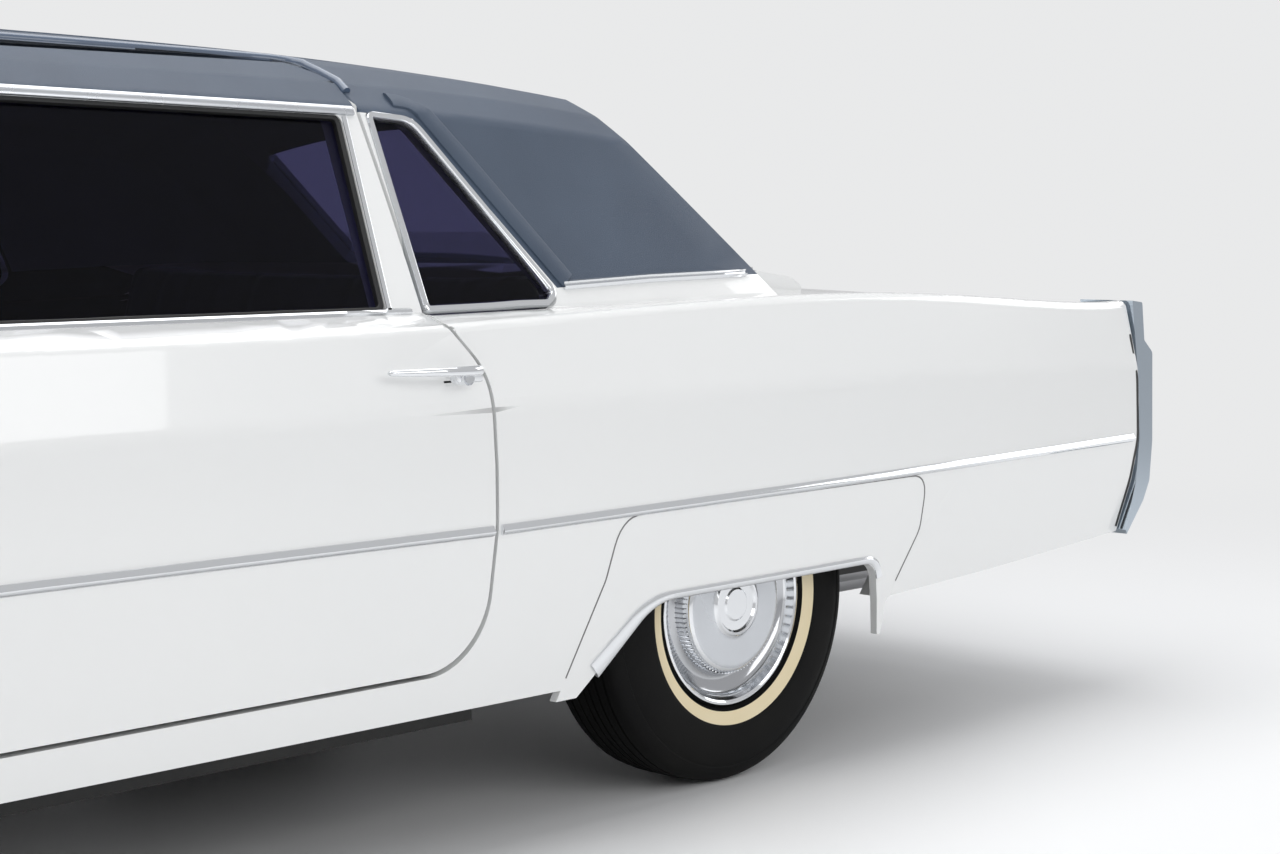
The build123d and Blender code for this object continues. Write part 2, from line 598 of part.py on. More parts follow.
    pipe = tube_path([(1500, 230, 218), (500, 230, 218), (-1230, 300, 218), (-1425, 400, 446), (-1850, 400, 446),
                      (-2075, 450, 290), (-2960, 470, 280)], 25, 60)
    pipe += rod((-550, 271, 218), (150, 245, 218), 60)
    pipe += block(-1012, -998, 278, 292, 225, rail_top - 40 - fit_gap)
    pipe += block(-2882, -2868, 460, 474, 290, 330 - fit_gap)
    parts["exhaust"] = both_sides(pipe)
    parts["fuel_tank"] = fillet(block(-2780, -2260, -400, 400, 215, high - fit_gap).edges(), 30)
    return parts


def cushion(x0, x1, half, z0, z1, radius=40):
    """Plain seat cushion with rounded edges."""
    return fillet(block(x0, x1, -half, half, z0, z1).edges(), radius)


def build_cabin(cabin_room):
    """Dashboard, seats and the partition."""
    parts = {}
    bulkhead = 1640 - fit_gap
    dash = side_prism([(bulkhead, 905), (bulkhead, 700), (1480, 690), (1380, 760), (1340, 850), (1370, 900), (1460, 912)],
                      -790, 790, [0, 0, 40, 40, 30, 20, 0])
    dash -= rod(tuple(column_top), tuple(column_bottom * 2 - column_top), column_radius + 4)
    parts["dashboard"] = dash
    seat = cushion(560, 1080, 640, 432, 575, 45)
    seat_back = side_prism([(500, 432), (680, 432), (610, 1010), (500, 1020)], -640, 640, [30, 30, 40, 30])
    base = block(560, 1040, 220, 600, floor_top, 450)
    base += other_side(base)
    parts["front_seat"] = seat + seat_back + base
    rear = cushion(-1172, -640, 640, 432, 590, 50)
    rear_back = side_prism([(-1080, 520), (-1225, 1030), (-1420, 1020), (-1420, 760), (-1290, 520)],
                           -640, 640, [40, 50, 30, 30, 20])
    rear_base = block(-1150, -680, 220, 600, floor_top, 450)
    rear_base += other_side(rear_base)
    parts["rear_seat"] = rear + rear_back + rear_base
    back = partition_x + 20
    front = partition_x + 60
    panel = block(back, front, -760, 760, 440, 930)
    panel += block(back, front, -760, -215, floor_top, 450)
    panel += block(back, front, 215, 760, floor_top, 450)
    header = block(back, front, -440, 440, 1300, 1500) & cabin_room
    uprights = block(back, front, 400, 440, 900, 1320)
    panel += uprights + other_side(uprights) + header
    parts["partition"] = panel
    jump = cushion(150, partition_x - 30, 180, 480, 560, 30)
    jump += cushion(partition_x - 60, back - fit_gap, 180, 520, 900, 30)
    jump += block(200, 330, -120, 120, floor_top, 490)
    parts["jump_seats"] = Compound((Pos(0, 400, 0) * jump).solids() + (Pos(0, -400, 0) * jump).solids())
    return parts


steer_y = 400
column_top = Vector(1190, steer_y, 905)
column_bottom = Vector(1640, steer_y, 640)
column_radius = 32
steering_wheel_radius = 200
rim_grip = 12


def build_steering():
    """Steering wheel and its column."""
    parts = {}
    axis = (column_top - column_bottom).normalized()
    plane = Plane(origin=column_top, z_dir=axis)
    rim = [(rim_grip * cos(k * pi / 4), steering_wheel_radius + rim_grip * sin(k * pi / 4)) for k in range(8)]
    ring = turned(rim, tuple(column_top), tuple(axis))
    wheel = ring + plane * Pos(0, 0, -8) * Cylinder(42, 40)
    wheel += plane * Pos(0, 0, -8) * Box(24, 2 * steering_wheel_radius - 16, 12)
    parts["steering_wheel"] = wheel
    foot = column_top - axis * 28.3
    column = rod(tuple(foot), tuple(column_bottom - axis * 60), column_radius)
    parts["steering_column"] = column & block(1000, 1640 - fit_gap, 0, 1000, 0, 1200)
    return parts


# Bumper blades, one row per station: y, then x of the front and back faces.
front_blade = [(0, 3105, 3030), (600, 3085, 3010), (850, 3058, 2992), (960, 2985, 2972)]
rear_blade = [(0, -3105, -3030), (600, -3085, -3020), (845, -3050, -3012)]
grille_half = 720
grille_height = 290
grille_z = 737
grille_pitch = (70, 46)
grille_bar = 8
lamp_y = 842
lamp_heights = (660, 815)


def blade(stations, low, high):
    """Half of a bumper bar: a rounded-edge section carried through its stations."""
    faces = []
    for y, front, back in stations:
        run = back - front
        corners = [(back, low + 14), (front + 0.35 * run, low), (front, low + 34), (front, high - 44),
                   (front + 0.3 * run, high - 6), (back, high)]
        faces.append(face_of(corners, 0, Plane(origin=(0, y, 0), x_dir=(1, 0, 0), z_dir=(0, -1, 0))))
    return loft(faces, ruled=True)


def build_ends():
    """Bumpers, grille and lamps."""
    parts = {}
    pod_outline = [(-2962, 927), (-3006, 922), (-3018, 832), (-3055, 802), (-3062, 590), (-3052, 495),
                   (-3026, 449), (-2955, 374), (-2950, 384), (-2992, 498), (-3004, 598), (-2995, 738)]
    pod = side_prism(pod_outline, 806, 950, [0, 6, 10, 14, 30, 14, 14, 0, 0, 40, 60, 40])
    lens_space = block(-3100, -3022, 845, 915, 520, 790)
    pod -= lens_space
    bar = blade(rear_blade, 400, 520)
    mount_x = rear_rail_end - fit_gap
    bracket = side_prism([(mount_x, 330), (mount_x, 372), (-3015, 372), (-3025, 425), (-3060, 425), (-3060, 330)],
                         565, 625)
    half = pod + bar + bracket
    parts["rear_bumper"] = half + other_side(half)
    lens = side_prism([(-3022, 522), (-3022, 788), (-3052, 780), (-3056, 590), (-3048, 522)], 847, 913)
    parts["tail_lamps"] = both_sides(lens)

    front_bar = blade(front_blade, 400, 545)
    mount_x = front_rail_end + fit_gap
    front_bar += side_prism([(mount_x, 330), (mount_x, 372), (2990, 372), (3025, 425), (3065, 425), (3065, 330)],
                            355, 425)
    parts["front_bumper"] = front_bar + other_side(front_bar)
    bars = Rectangle(2 * grille_half, grille_height) - GridLocations(grille_pitch[0], grille_pitch[1], 20, 6) * (
        Rectangle(grille_pitch[0] - grille_bar, grille_pitch[1] - grille_bar))
    front = Plane(origin=(nose_x + fit_gap, 0, grille_z), x_dir=(0, 1, 0), z_dir=(1, 0, 0))
    grille = extrude(front * bars, amount=22, dir=(1, 0, 0))
    grille += block(nose_x + fit_gap, 2990, -grille_half, grille_half, grille_z - 12, grille_z + 12)
    pods = []
    for side in (1, -1):
        pod = Pos(nose_x + fit_gap + 15, side * lamp_y, grille_z) * Box(30, 176, 330)
        pod = fillet(pod.edges().filter_by(Axis.X), 60)
        for z in lamp_heights:
            pod -= rod((2950, side * lamp_y, z), (3000, side * lamp_y, z), 77)
        pods += pod.solids()
    parts["grille"] = Compound(grille.solids() + pods)
    solids = []
    for z in lamp_heights:
        dome = turned([(0, 0), (0, 73), (20, 73), (30, 52), (38, 0)], (nose_x + fit_gap, lamp_y, z), (1, 0, 0))
        solids += dome.solids() + other_side(dome).solids()
    parts["headlamps"] = Compound(solids)
    return parts


def main():
    """Build every piece and write one STEP file for each."""
    os.makedirs("parts", exist_ok=True)
    parts, fit_room, cabin_room = build_body()
    parts |= build_wheels()
    parts |= build_chassis(fit_room)
    parts |= build_cabin(cabin_room)
    parts |= build_steering()
    parts |= build_ends()
    for name, shape in parts.items():
        export_step(shape, f"parts/{name}.step")


main()
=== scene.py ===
import json
import math
import bpy
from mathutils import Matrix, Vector
from mathutils.bvhtree import BVHTree

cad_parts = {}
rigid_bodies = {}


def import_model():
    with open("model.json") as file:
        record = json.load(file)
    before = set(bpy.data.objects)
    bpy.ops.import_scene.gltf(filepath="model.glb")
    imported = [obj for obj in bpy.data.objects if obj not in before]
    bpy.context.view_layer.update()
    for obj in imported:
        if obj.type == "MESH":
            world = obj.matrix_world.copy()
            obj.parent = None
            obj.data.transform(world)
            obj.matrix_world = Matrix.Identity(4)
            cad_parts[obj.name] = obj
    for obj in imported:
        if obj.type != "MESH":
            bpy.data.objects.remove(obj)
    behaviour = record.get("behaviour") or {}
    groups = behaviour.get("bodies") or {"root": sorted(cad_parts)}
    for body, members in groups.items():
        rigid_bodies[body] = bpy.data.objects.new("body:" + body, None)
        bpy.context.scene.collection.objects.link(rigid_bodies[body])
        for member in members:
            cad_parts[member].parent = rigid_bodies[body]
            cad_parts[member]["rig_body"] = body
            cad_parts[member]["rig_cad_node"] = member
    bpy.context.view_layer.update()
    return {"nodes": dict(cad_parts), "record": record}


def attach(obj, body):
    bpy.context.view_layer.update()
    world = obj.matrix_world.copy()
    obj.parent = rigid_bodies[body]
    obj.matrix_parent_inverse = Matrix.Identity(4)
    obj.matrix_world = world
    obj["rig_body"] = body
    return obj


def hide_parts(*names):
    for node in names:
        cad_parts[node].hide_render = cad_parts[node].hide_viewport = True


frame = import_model()
nodes = frame["nodes"]
print("frame loaded:", len(nodes), "nodes")

# Driving sizes in metres, in the car's own frame: +X forward, +Y left, +Z up
car = {
    "rearAxleX": -1.605,
    "frontAxleX": 2.2,
    "wheelY": 0.794,
    "axleZ": 0.358,
    "outsideY": 1.4,
}
wheelPlaces = {}
for end, axleX in (("front", car["frontAxleX"]), ("rear", car["rearAxleX"])):
    for side, sign in (("left", 1), ("right", -1)):
        wheelPlaces[f"{end}_{side}"] = (axleX, sign * car["wheelY"], car["axleZ"], sign)

# Studio: the camera stands by the left front door and looks back along the car
studio = {
    "cameraPlace": (2.0298, 4.0209, 1.1316),
    "cameraYaw": 223.02,
    "cameraPitch": -5.009,
    "lens": 68.515,
    "floorColour": (0.84, 0.845, 0.85, 1),
    "floorGlow": (0.815, 0.82, 0.825, 1),
    "backdropColour": (0.815, 0.82, 0.825, 1),
    "floorRough": 0.45,
    "floorSpecular": 0.45,
    "airColour": (0.98, 0.985, 1.0, 1),
    "airStrength": 0.6,
    "fadeStart": 3.0,
    "fadeEnd": 7.5,
}


def deselectAll():
    if bpy.context.object and bpy.context.object.mode != "OBJECT":
        bpy.ops.object.mode_set(mode="OBJECT")
    bpy.ops.object.select_all(action="DESELECT")


def pickOnly(obj):
    deselectAll()
    obj.select_set(True)
    bpy.context.view_layer.objects.active = obj


def applyPlace(obj):
    pickOnly(obj)
    bpy.ops.object.transform_apply(location=True, rotation=True, scale=True)


def applyModifiers(obj):
    pickOnly(obj)
    for name in [m.name for m in obj.modifiers]:
        bpy.ops.object.modifier_apply(modifier=name)


def editMesh(*steps):
    # run mesh operators in edit mode on the active piece
    bpy.ops.object.mode_set(mode="EDIT")
    for step, settings in steps:
        getattr(bpy.ops.mesh, step)(**settings)
    bpy.ops.object.mode_set(mode="OBJECT")


everything = ("select_all", {"action": "SELECT"})
facesOut = ("normals_make_consistent", {"inside": False})
faceMode = ("select_mode", {"type": "FACE"})
vertexMode = ("select_mode", {"type": "VERT"})


def joinPieces(pieces, lead):
    deselectAll()
    for piece in pieces:
        piece.select_set(True)
    bpy.context.view_layer.objects.active = lead
    bpy.ops.object.join()


def easeEdges(obj, width, segments):
    soft = obj.modifiers.new("eased edges", "BEVEL")
    soft.width, soft.segments = width, segments
    applyModifiers(obj)


def smoothShade(obj, angle=35):
    pickOnly(obj)
    bpy.ops.object.shade_smooth_by_angle(angle=math.radians(angle))


# Helpers for materials and node groups
def newMaterial(name):
    material = bpy.data.materials.new(name)
    material.use_nodes = True
    return material, material.node_tree, material.node_tree.nodes["Principled BSDF"]


def addNode(tree, kind, **settings):
    node = tree.nodes.new(kind)
    for key, value in settings.items():
        if key in node.inputs:
            node.inputs[key].default_value = value
        else:
            setattr(node, key, value)
    return node


def newGroup(name, inputs, outputs):
    group = bpy.data.node_groups.new(name, "ShaderNodeTree")
    for label, kind, value in inputs:
        socket = group.interface.new_socket(label, in_out="INPUT", socket_type=kind)
        if value is not None:
            socket.default_value = value
    for label, kind in outputs:
        group.interface.new_socket(label, in_out="OUTPUT", socket_type=kind)
    return group, group.nodes.new("NodeGroupInput"), group.nodes.new("NodeGroupOutput")


def duplicateOf(piece):
    pickOnly(piece)
    bpy.ops.object.duplicate()
    return bpy.context.object


def addShape(kind, **settings):
    deselectAll()
    getattr(bpy.ops.mesh, f"primitive_{kind}_add")(**settings)
    return bpy.context.object


def wire(tree, *links):
    # each link: from node, its output, to node, its input
    for start, output, end, label in links:
        tree.links.new(start.outputs[output], end.inputs[label])


def placeGroup(tree, group, **values):
    node = tree.nodes.new("ShaderNodeGroup")
    node.node_tree = group
    for key, value in values.items():
        node.inputs[key].default_value = value
    return node


# Shared effects
def makeGrainGroup():
    # fine pebbled grain, as on coated cloth: a height and a faint tone change
    group, inside, out = newGroup("Pebble grain",
                                  [("Scale", "NodeSocketFloat", 400.0), ("Depth", "NodeSocketFloat", 0.4)],
                                  [("Normal", "NodeSocketVector"), ("Tone", "NodeSocketFloat")])
    coords = addNode(group, "ShaderNodeTexCoord")
    cells = addNode(group, "ShaderNodeTexVoronoi", feature="F1")
    clouds = addNode(group, "ShaderNodeTexNoise", Detail=3.0)
    patches = addNode(group, "ShaderNodeTexNoise", Scale=6.0, Detail=2.0)
    mix = addNode(group, "ShaderNodeMath", operation="ADD")
    bump = addNode(group, "ShaderNodeBump", Distance=0.0006)
    for texture in (cells, clouds):
        wire(group, (coords, "Object", texture, "Vector"), (inside, "Scale", texture, "Scale"))
    wire(group, (coords, "Object", patches, "Vector"), (cells, "Distance", mix, 0), (clouds, "Fac", mix, 1),
         (mix, 0, bump, "Height"), (inside, "Depth", bump, "Strength"), (bump, "Normal", out, "Normal"))
    spread = addNode(group, "ShaderNodeMapRange")
    spread.inputs["From Min"].default_value = 0.3
    spread.inputs["From Max"].default_value = 0.7
    wire(group, (patches, "Fac", spread, "Value"), (spread, "Result", out, "Tone"))
    return group


def makePaintGroup():
    # sprayed finish: very faint ripple in the clear coat and a slight tone drift over the panels
    group, inside, out = newGroup("Sprayed finish",
                                  [("Ripple", "NodeSocketFloat", 0.02), ("Scale", "NodeSocketFloat", 60.0)],
                                  [("Normal", "NodeSocketVector"), ("Drift", "NodeSocketFloat")])
    coords = addNode(group, "ShaderNodeTexCoord")
    ripple = addNode(group, "ShaderNodeTexNoise", Detail=1.0)
    drift = addNode(group, "ShaderNodeTexNoise", Scale=1.1, Detail=1.0)
    bump = addNode(group, "ShaderNodeBump", Distance=0.001)
    wire(group, (coords, "Object", ripple, "Vector"), (coords, "Object", drift, "Vector"),
         (inside, "Scale", ripple, "Scale"), (inside, "Ripple", bump, "Strength"),
         (ripple, "Fac", bump, "Height"), (bump, "Normal", out, "Normal"), (drift, "Fac", out, "Drift"))
    return group


def makeBrushGroup():
    # rubbed or drawn metal: fine lines along X and a roughness that wanders
    group, inside, out = newGroup("Drawn metal",
                                  [("Stretch", "NodeSocketFloat", 40.0), ("Depth", "NodeSocketFloat", 0.05),
                                   ("Low", "NodeSocketFloat", 0.05), ("High", "NodeSocketFloat", 0.15)],
                                  [("Normal", "NodeSocketVector"), ("Roughness", "NodeSocketFloat")])
    coords = addNode(group, "ShaderNodeTexCoord")
    mapping = addNode(group, "ShaderNodeMapping", Scale=(1.5, 30.0, 30.0))
    lines = addNode(group, "ShaderNodeTexNoise", Detail=2.0)
    clouds = addNode(group, "ShaderNodeTexNoise", Scale=9.0, Detail=2.0)
    bump = addNode(group, "ShaderNodeBump", Distance=0.0005)
    spread = addNode(group, "ShaderNodeMapRange")
    wire(group, (coords, "Object", mapping, "Vector"), (mapping, "Vector", lines, "Vector"),
         (inside, "Stretch", lines, "Scale"), (coords, "Object", clouds, "Vector"),
         (inside, "Depth", bump, "Strength"), (lines, "Fac", bump, "Height"), (clouds, "Fac", spread, "Value"),
         (inside, "Low", spread, "To Min"), (inside, "High", spread, "To Max"), (bump, "Normal", out, "Normal"),
         (spread, "Result", out, "Roughness"))
    return group


grainGroup = makeGrainGroup()
paintGroup = makePaintGroup()
brushGroup = makeBrushGroup()


def driftColour(tree, shader, finish, output, colour, shade):
    # a colour that drifts between two tones, and the finish's own bump
    mix = addNode(tree, "ShaderNodeMix", data_type="RGBA")
    mix.inputs[6].default_value = (*colour, 1)
    mix.inputs[7].default_value = (*shade, 1)
    wire(tree, (finish, output, mix, 0), (mix, 2, shader, "Base Color"), (finish, "Normal", shader, "Normal"))


def paintMaterial(name, colour, shade, ripple=0.02, rough=0.22):
    material, tree, shader = newMaterial(name)
    shader.inputs["Roughness"].default_value = rough
    shader.inputs["Coat Weight"].default_value = 1.0
    shader.inputs["Coat Roughness"].default_value = 0.03
    driftColour(tree, shader, placeGroup(tree, paintGroup, Ripple=ripple), "Drift", colour, shade)
    return material


def metalMaterial(name, colour, low, high, depth=0.03, stretch=40.0):
    material, tree, shader = newMaterial(name)
    shader.inputs["Metallic"].default_value = 1.0
    shader.inputs["Base Color"].default_value = (*colour, 1)
    finish = placeGroup(tree, brushGroup, Low=low, High=high, Depth=depth, Stretch=stretch)
    wire(tree, (finish, "Roughness", shader, "Roughness"), (finish, "Normal", shader, "Normal"))
    return material


def grainMaterial(name, colour, shade, scale, depth, rough, sheen=0.0):
    material, tree, shader = newMaterial(name)
    shader.inputs["Roughness"].default_value = rough
    shader.inputs["Sheen Weight"].default_value = sheen
    driftColour(tree, shader, placeGroup(tree, grainGroup, Scale=scale, Depth=depth), "Tone", colour, shade)
    return material


def glassMaterial(name, colour, rough=0.02, transmission=0.9, ior=1.5):
    material, tree, shader = newMaterial(name)
    shader.inputs["Base Color"].default_value = (*colour, 1)
    shader.inputs["Transmission Weight"].default_value = transmission
    shader.inputs["Roughness"].default_value = rough
    shader.inputs["IOR"].default_value = ior
    finish = placeGroup(tree, paintGroup, Ripple=0.004, Scale=8.0)
    wire(tree, (finish, "Normal", shader, "Normal"))
    return material


whitePaint = paintMaterial("White body paint", (0.8, 0.81, 0.81), (0.83, 0.835, 0.83))
roofPaint = paintMaterial("Blue gutter paint", (0.07, 0.105, 0.17), (0.08, 0.118, 0.185), rough=0.3)
vinyl = grainMaterial("Blue-grey roof covering", (0.036, 0.057, 0.094), (0.045, 0.069, 0.11), 620.0, 0.6, 0.48,
                      0.05)
chrome = metalMaterial("Bright plating", (0.8, 0.815, 0.835), 0.04, 0.1)
# the tail pods are plated; their darker blue-grey colour is a painted reflection of the surroundings
podChromeWithPaintedReflection = metalMaterial("Tail pod plating", (0.54, 0.61, 0.68), 0.08, 0.16)
satinTrim = metalMaterial("Satin trim", (0.62, 0.64, 0.67), 0.22, 0.34, 0.08)
steel = metalMaterial("Pressed steel", (0.36, 0.36, 0.37), 0.35, 0.55, 0.15)
iron = grainMaterial("Black iron", (0.02, 0.02, 0.021), (0.035, 0.034, 0.033), 220.0, 0.3, 0.55)
chassisPaint = grainMaterial("Chassis black", (0.01, 0.01, 0.01), (0.018, 0.018, 0.017), 180.0, 0.25, 0.5)
tyreRubber = grainMaterial("Tyre rubber", (0.003, 0.003, 0.0034), (0.006, 0.006, 0.0055), 300.0, 0.25, 0.7)
tyreRubber.node_tree.nodes["Principled BSDF"].inputs["Specular IOR Level"].default_value = 0.15
seatCloth = grainMaterial("Navy seat cloth", (0.02, 0.03, 0.055), (0.03, 0.042, 0.07), 900.0, 0.5, 0.85, 0.4)
cabinTrim = grainMaterial("Navy cabin trim", (0.016, 0.022, 0.036), (0.024, 0.032, 0.05), 500.0, 0.35, 0.6)
headliner = grainMaterial("Pale headlining", (0.3, 0.33, 0.38), (0.34, 0.37, 0.42), 700.0, 0.3, 0.9, 0.3)
rubber = grainMaterial("Window rubber", (0.01, 0.01, 0.011), (0.016, 0.016, 0.016), 350.0, 0.2, 0.5)
# a grey that stands in for the shade inside a panel gap: painted shadow
gapShade = grainMaterial("Panel gap shade", (0.16, 0.16, 0.16), (0.2, 0.2, 0.2), 200.0, 0.1, 0.6)
whitewall = grainMaterial("Whitewall band", (0.8, 0.68, 0.43), (0.84, 0.73, 0.5), 260.0, 0.12, 0.55)
plateEnamel = grainMaterial("Blank plate enamel", (0.62, 0.63, 0.62), (0.68, 0.69, 0.68), 120.0, 0.1, 0.35)
darkDish = metalMaterial("Dark polished dish", (0.5, 0.51, 0.53), 0.08, 0.18)
tintedGlass = glassMaterial("Smoked glass", (0.2, 0.197, 0.315), transmission=1.0, ior=1.18)
lampGlass = glassMaterial("Lamp glass", (0.92, 0.94, 0.96))
redLens = glassMaterial("Red lens", (0.75, 0.02, 0.02), 0.05, 0.6)


finishes = {
    "body_shell": whitePaint, "front_fenders": whitePaint, "fender_skirts": whitePaint, "hood": whitePaint,
    "trunk_lid": whitePaint, "roof": vinyl, "front_bumper": chrome, "rear_bumper": chrome, "grille": chrome,
    "headlamps": lampGlass, "tail_lamps": redLens, "chassis_frame": chassisPaint, "floor_pan": chassisPaint,
    "rear_frame": chassisPaint, "trunk_floor": chassisPaint,
    "front_suspension": iron, "rear_axle": iron, "driveshaft": iron, "engine_block": iron, "exhaust": steel,
    "fuel_tank": steel, "radiator": chassisPaint, "dashboard": cabinTrim, "steering_column": cabinTrim,
    "steering_wheel": cabinTrim, "partition": cabinTrim, "front_seat": seatCloth, "rear_seat": seatCloth,
    "jump_seats": seatCloth, "windshield": tintedGlass, "rear_window": tintedGlass, "quarter_windows": tintedGlass,
}
# pieces that come in sets, by the start of their names
finishSets = {"door_glass": tintedGlass, "door_": whitePaint, "wheel_": chrome, "tyre_": tyreRubber,
              "knuckle_": iron}
for name in nodes:
    for start, material in finishSets.items():
        if name.startswith(start):
            finishes.setdefault(name, material)
for name, material in finishes.items():
    nodes[name].data.materials.clear()
    nodes[name].data.materials.append(material)
print("finishes placed on", len(finishes), "nodes")


# The pressed panels: each is the frame's own shape, welded from its loose triangles and shaded smooth
panels = {
    "weld": 0.00004,
    "flatAngle": 0.5,
    "smoothAngle": 28,
    "railX": -0.038,
    "handleFronts": {"rear": -0.58, "front": 0.675},
    "railSlope": 0.0173,
    "railHeight": 1.3255,
}
bodyOf = {}
for bodyName, members in frame["record"]["behaviour"]["bodies"].items():
    for member in members:
        bodyOf[member] = bodyName


def weldedCopy(nodeName):
    copy = duplicateOf(nodes[nodeName])
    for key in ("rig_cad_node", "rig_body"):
        if key in copy:
            del copy[key]
    copy.parent = None
    copy.name = f"{nodeName}_panel"
    editMesh(everything, ("remove_doubles", {"threshold": panels["weld"]}),
             ("dissolve_degenerate", {"threshold": 0.00001}), everything,
             ("dissolve_limited", {"angle_limit": math.radians(panels["flatAngle"])}))
    return copy


def keepPanel(panel, nodeName):
    smoothShade(panel, panels["smoothAngle"])
    weigh = panel.modifiers.new("large faces lead", "WEIGHTED_NORMAL")
    weigh.mode, weigh.weight, weigh.keep_sharp = "FACE_AREA", 50, True
    applyModifiers(panel)
    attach(panel, bodyOf[nodeName])
    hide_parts(nodeName)


def cutAcross(panel, place, normal):
    # a welded seam line where one finish stops and the next begins
    pickOnly(panel)
    editMesh(everything, ("bisect", {"plane_co": place, "plane_no": normal}))


def paintFaces(panel, material, chosen):
    panel.data.materials.append(material)
    index = len(panel.data.materials) - 1
    for face in panel.data.polygons:
        if chosen(face.center, face.normal):
            face.material_index = index


def pickFaces(piece, chosen):
    pickOnly(piece)
    for part in (piece.data.vertices, piece.data.edges):
        for item in part:
            item.select = False
    for face in piece.data.polygons:
        face.select = chosen(face)


def dropFaces(panel, chosen):
    pickFaces(panel, lambda face: chosen(face.center))
    editMesh(faceMode, ("delete", {"type": "FACE"}), vertexMode)


def railZ(x):
    return panels["railHeight"] + panels["railSlope"] * (x - panels["railX"])


def dressDoor(nodeName, sign):
    # covering above the rail, trim on the inner face, plating on the front door's mirror corner
    panel = weldedCopy(nodeName)
    cutAcross(panel, (panels["railX"], 0, panels["railHeight"]), (-panels["railSlope"], 0, 1))
    paintFaces(panel, vinyl, lambda c, n: c.z > railZ(c.x) and n.y * sign + n.z > 0.2)
    paintFaces(panel, cabinTrim, lambda c, n: n.y * sign < -0.45)
    paintFaces(panel, chrome, lambda c, n: c.z > 0.975 and c.x > 1.26 and abs(c.y) > 0.945)
    # the plain pull bar of the frame makes way for the finished handle
    dropFaces(panel, lambda c: abs(c.y) > 1.0075 and 0.846 < c.z < 0.881 and any(
        front - 0.207 < c.x < front + 0.002 for front in panels["handleFronts"].values()))
    keepPanel(panel, nodeName)


for side, sign in (("left", 1), ("right", -1)):
    for end in ("front", "rear"):
        dressDoor(f"door_{end}_{side}", sign)


def dressShell():
    panel = weldedCopy("body_shell")
    # the cabin's inner walls, then the air outlet behind the rear glass: its bars and the dark gaps between
    paintFaces(panel, cabinTrim, lambda c, n: -1.45 < c.x < 1.66 and abs(c.y) < 0.93 and c.z < 1.4
               and (n.y * c.y < -0.02 or abs(c.y) < 0.86 and c.z < 0.9))
    inVent = lambda c: -2.32 < c.x < -2.14 and abs(c.y) < 0.48 and c.z > 0.949
    paintFaces(panel, satinTrim, lambda c, n: inVent(c) and n.z > 0.5 and 0.27 < abs(c.y) < 0.46 and c.x < -2.158)
    paintFaces(panel, rubber, lambda c, n: inVent(c) and (abs(n.z) < 0.4 or c.z < 0.975) and 0.27 < abs(c.y) < 0.46
               and -2.29 < c.x < -2.155)
    keepPanel(panel, "body_shell")
    roofPanel = weldedCopy("roof")
    paintFaces(roofPanel, headliner, lambda c, n: n.z < -0.25 or n.y * c.y < -0.25)
    keepPanel(roofPanel, "roof")


dressShell()
# the rear bumper and tail pods take the plating with the painted blue-grey reflection
nodes["rear_bumper"].data.materials[0] = podChromeWithPaintedReflection
for nodeName in ("front_fenders", "fender_skirts", "hood", "trunk_lid", "front_bumper", "rear_bumper"):
    keepPanel(weldedCopy(nodeName), nodeName)
print("panels welded and shaded")


# What the trims are laid on
def treeOf(names):
    corners, faces = [], []
    for name in names:
        mesh = nodes[name].data
        start = len(corners)
        corners += [v.co.copy() for v in mesh.vertices]
        faces += [[start + i for i in face.vertices] for face in mesh.polygons]
    return BVHTree.FromPolygons(corners, faces)


skinNames = ["body_shell", "roof", "front_fenders", "fender_skirts", "hood", "trunk_lid"]
skinNames += [f"door_{end}_{side}" for end in ("front", "rear") for side in ("left", "right")]
skin = treeOf(skinNames)
doorGlass = treeOf([name for name in nodes if name.startswith("door_glass")])
quarterGlass = treeOf(["quarter_windows"])
frontGlass = treeOf(["windshield"])


def castOn(tree, start, direction):
    place, normal, index, reach = tree.ray_cast(Vector(start), Vector(direction).normalized())
    if place is None:
        place, normal, index, reach = tree.find_nearest(Vector(start))
    if normal.dot(Vector(direction)) > 0:
        normal = -normal
    return place, normal


def onSide(track, tree=None, lift=0.0):
    # side view points (x, z) carried square across onto the left side of the car
    found = [castOn(tree or skin, (x, car["outsideY"], z), (0, -1, 0)) for x, z in track]
    return [place + normal * lift for place, normal in found], [normal for place, normal in found]


def softTrack(points, radii=0.0, closed=False, step=0.08):
    # a line through the points with rounded corners, sampled closely enough to lie on a panel
    count = len(points)
    if not isinstance(radii, (list, tuple)):
        radii = [radii] * count
    stops = []
    for i, here in enumerate(points):
        here = Vector(here)
        if not closed and i in (0, count - 1) or radii[i] == 0:
            stops.append([here])
            continue
        back = Vector(points[i - 1]) - here
        ahead = Vector(points[(i + 1) % count]) - here
        half = back.angle(ahead) / 2
        trim = min(radii[i] / max(math.tan(half), 0.05), back.length * 0.48, ahead.length * 0.48)
        start, end = here + back.normalized() * trim, here + ahead.normalized() * trim
        arc = [start.lerp(here, t).lerp(here.lerp(end, t), t) for t in [k / 7 for k in range(8)]]
        stops.append(arc)
    if closed:
        stops.append([stops[0][0]])
    track = list(stops[0])
    for stop in stops[1:]:
        run = stop[0] - track[-1]
        pieces = max(1, int(run.length / step))
        track += [track[-1] + run * (k / pieces) for k in range(1, pieces)]
        track += stop
    return track


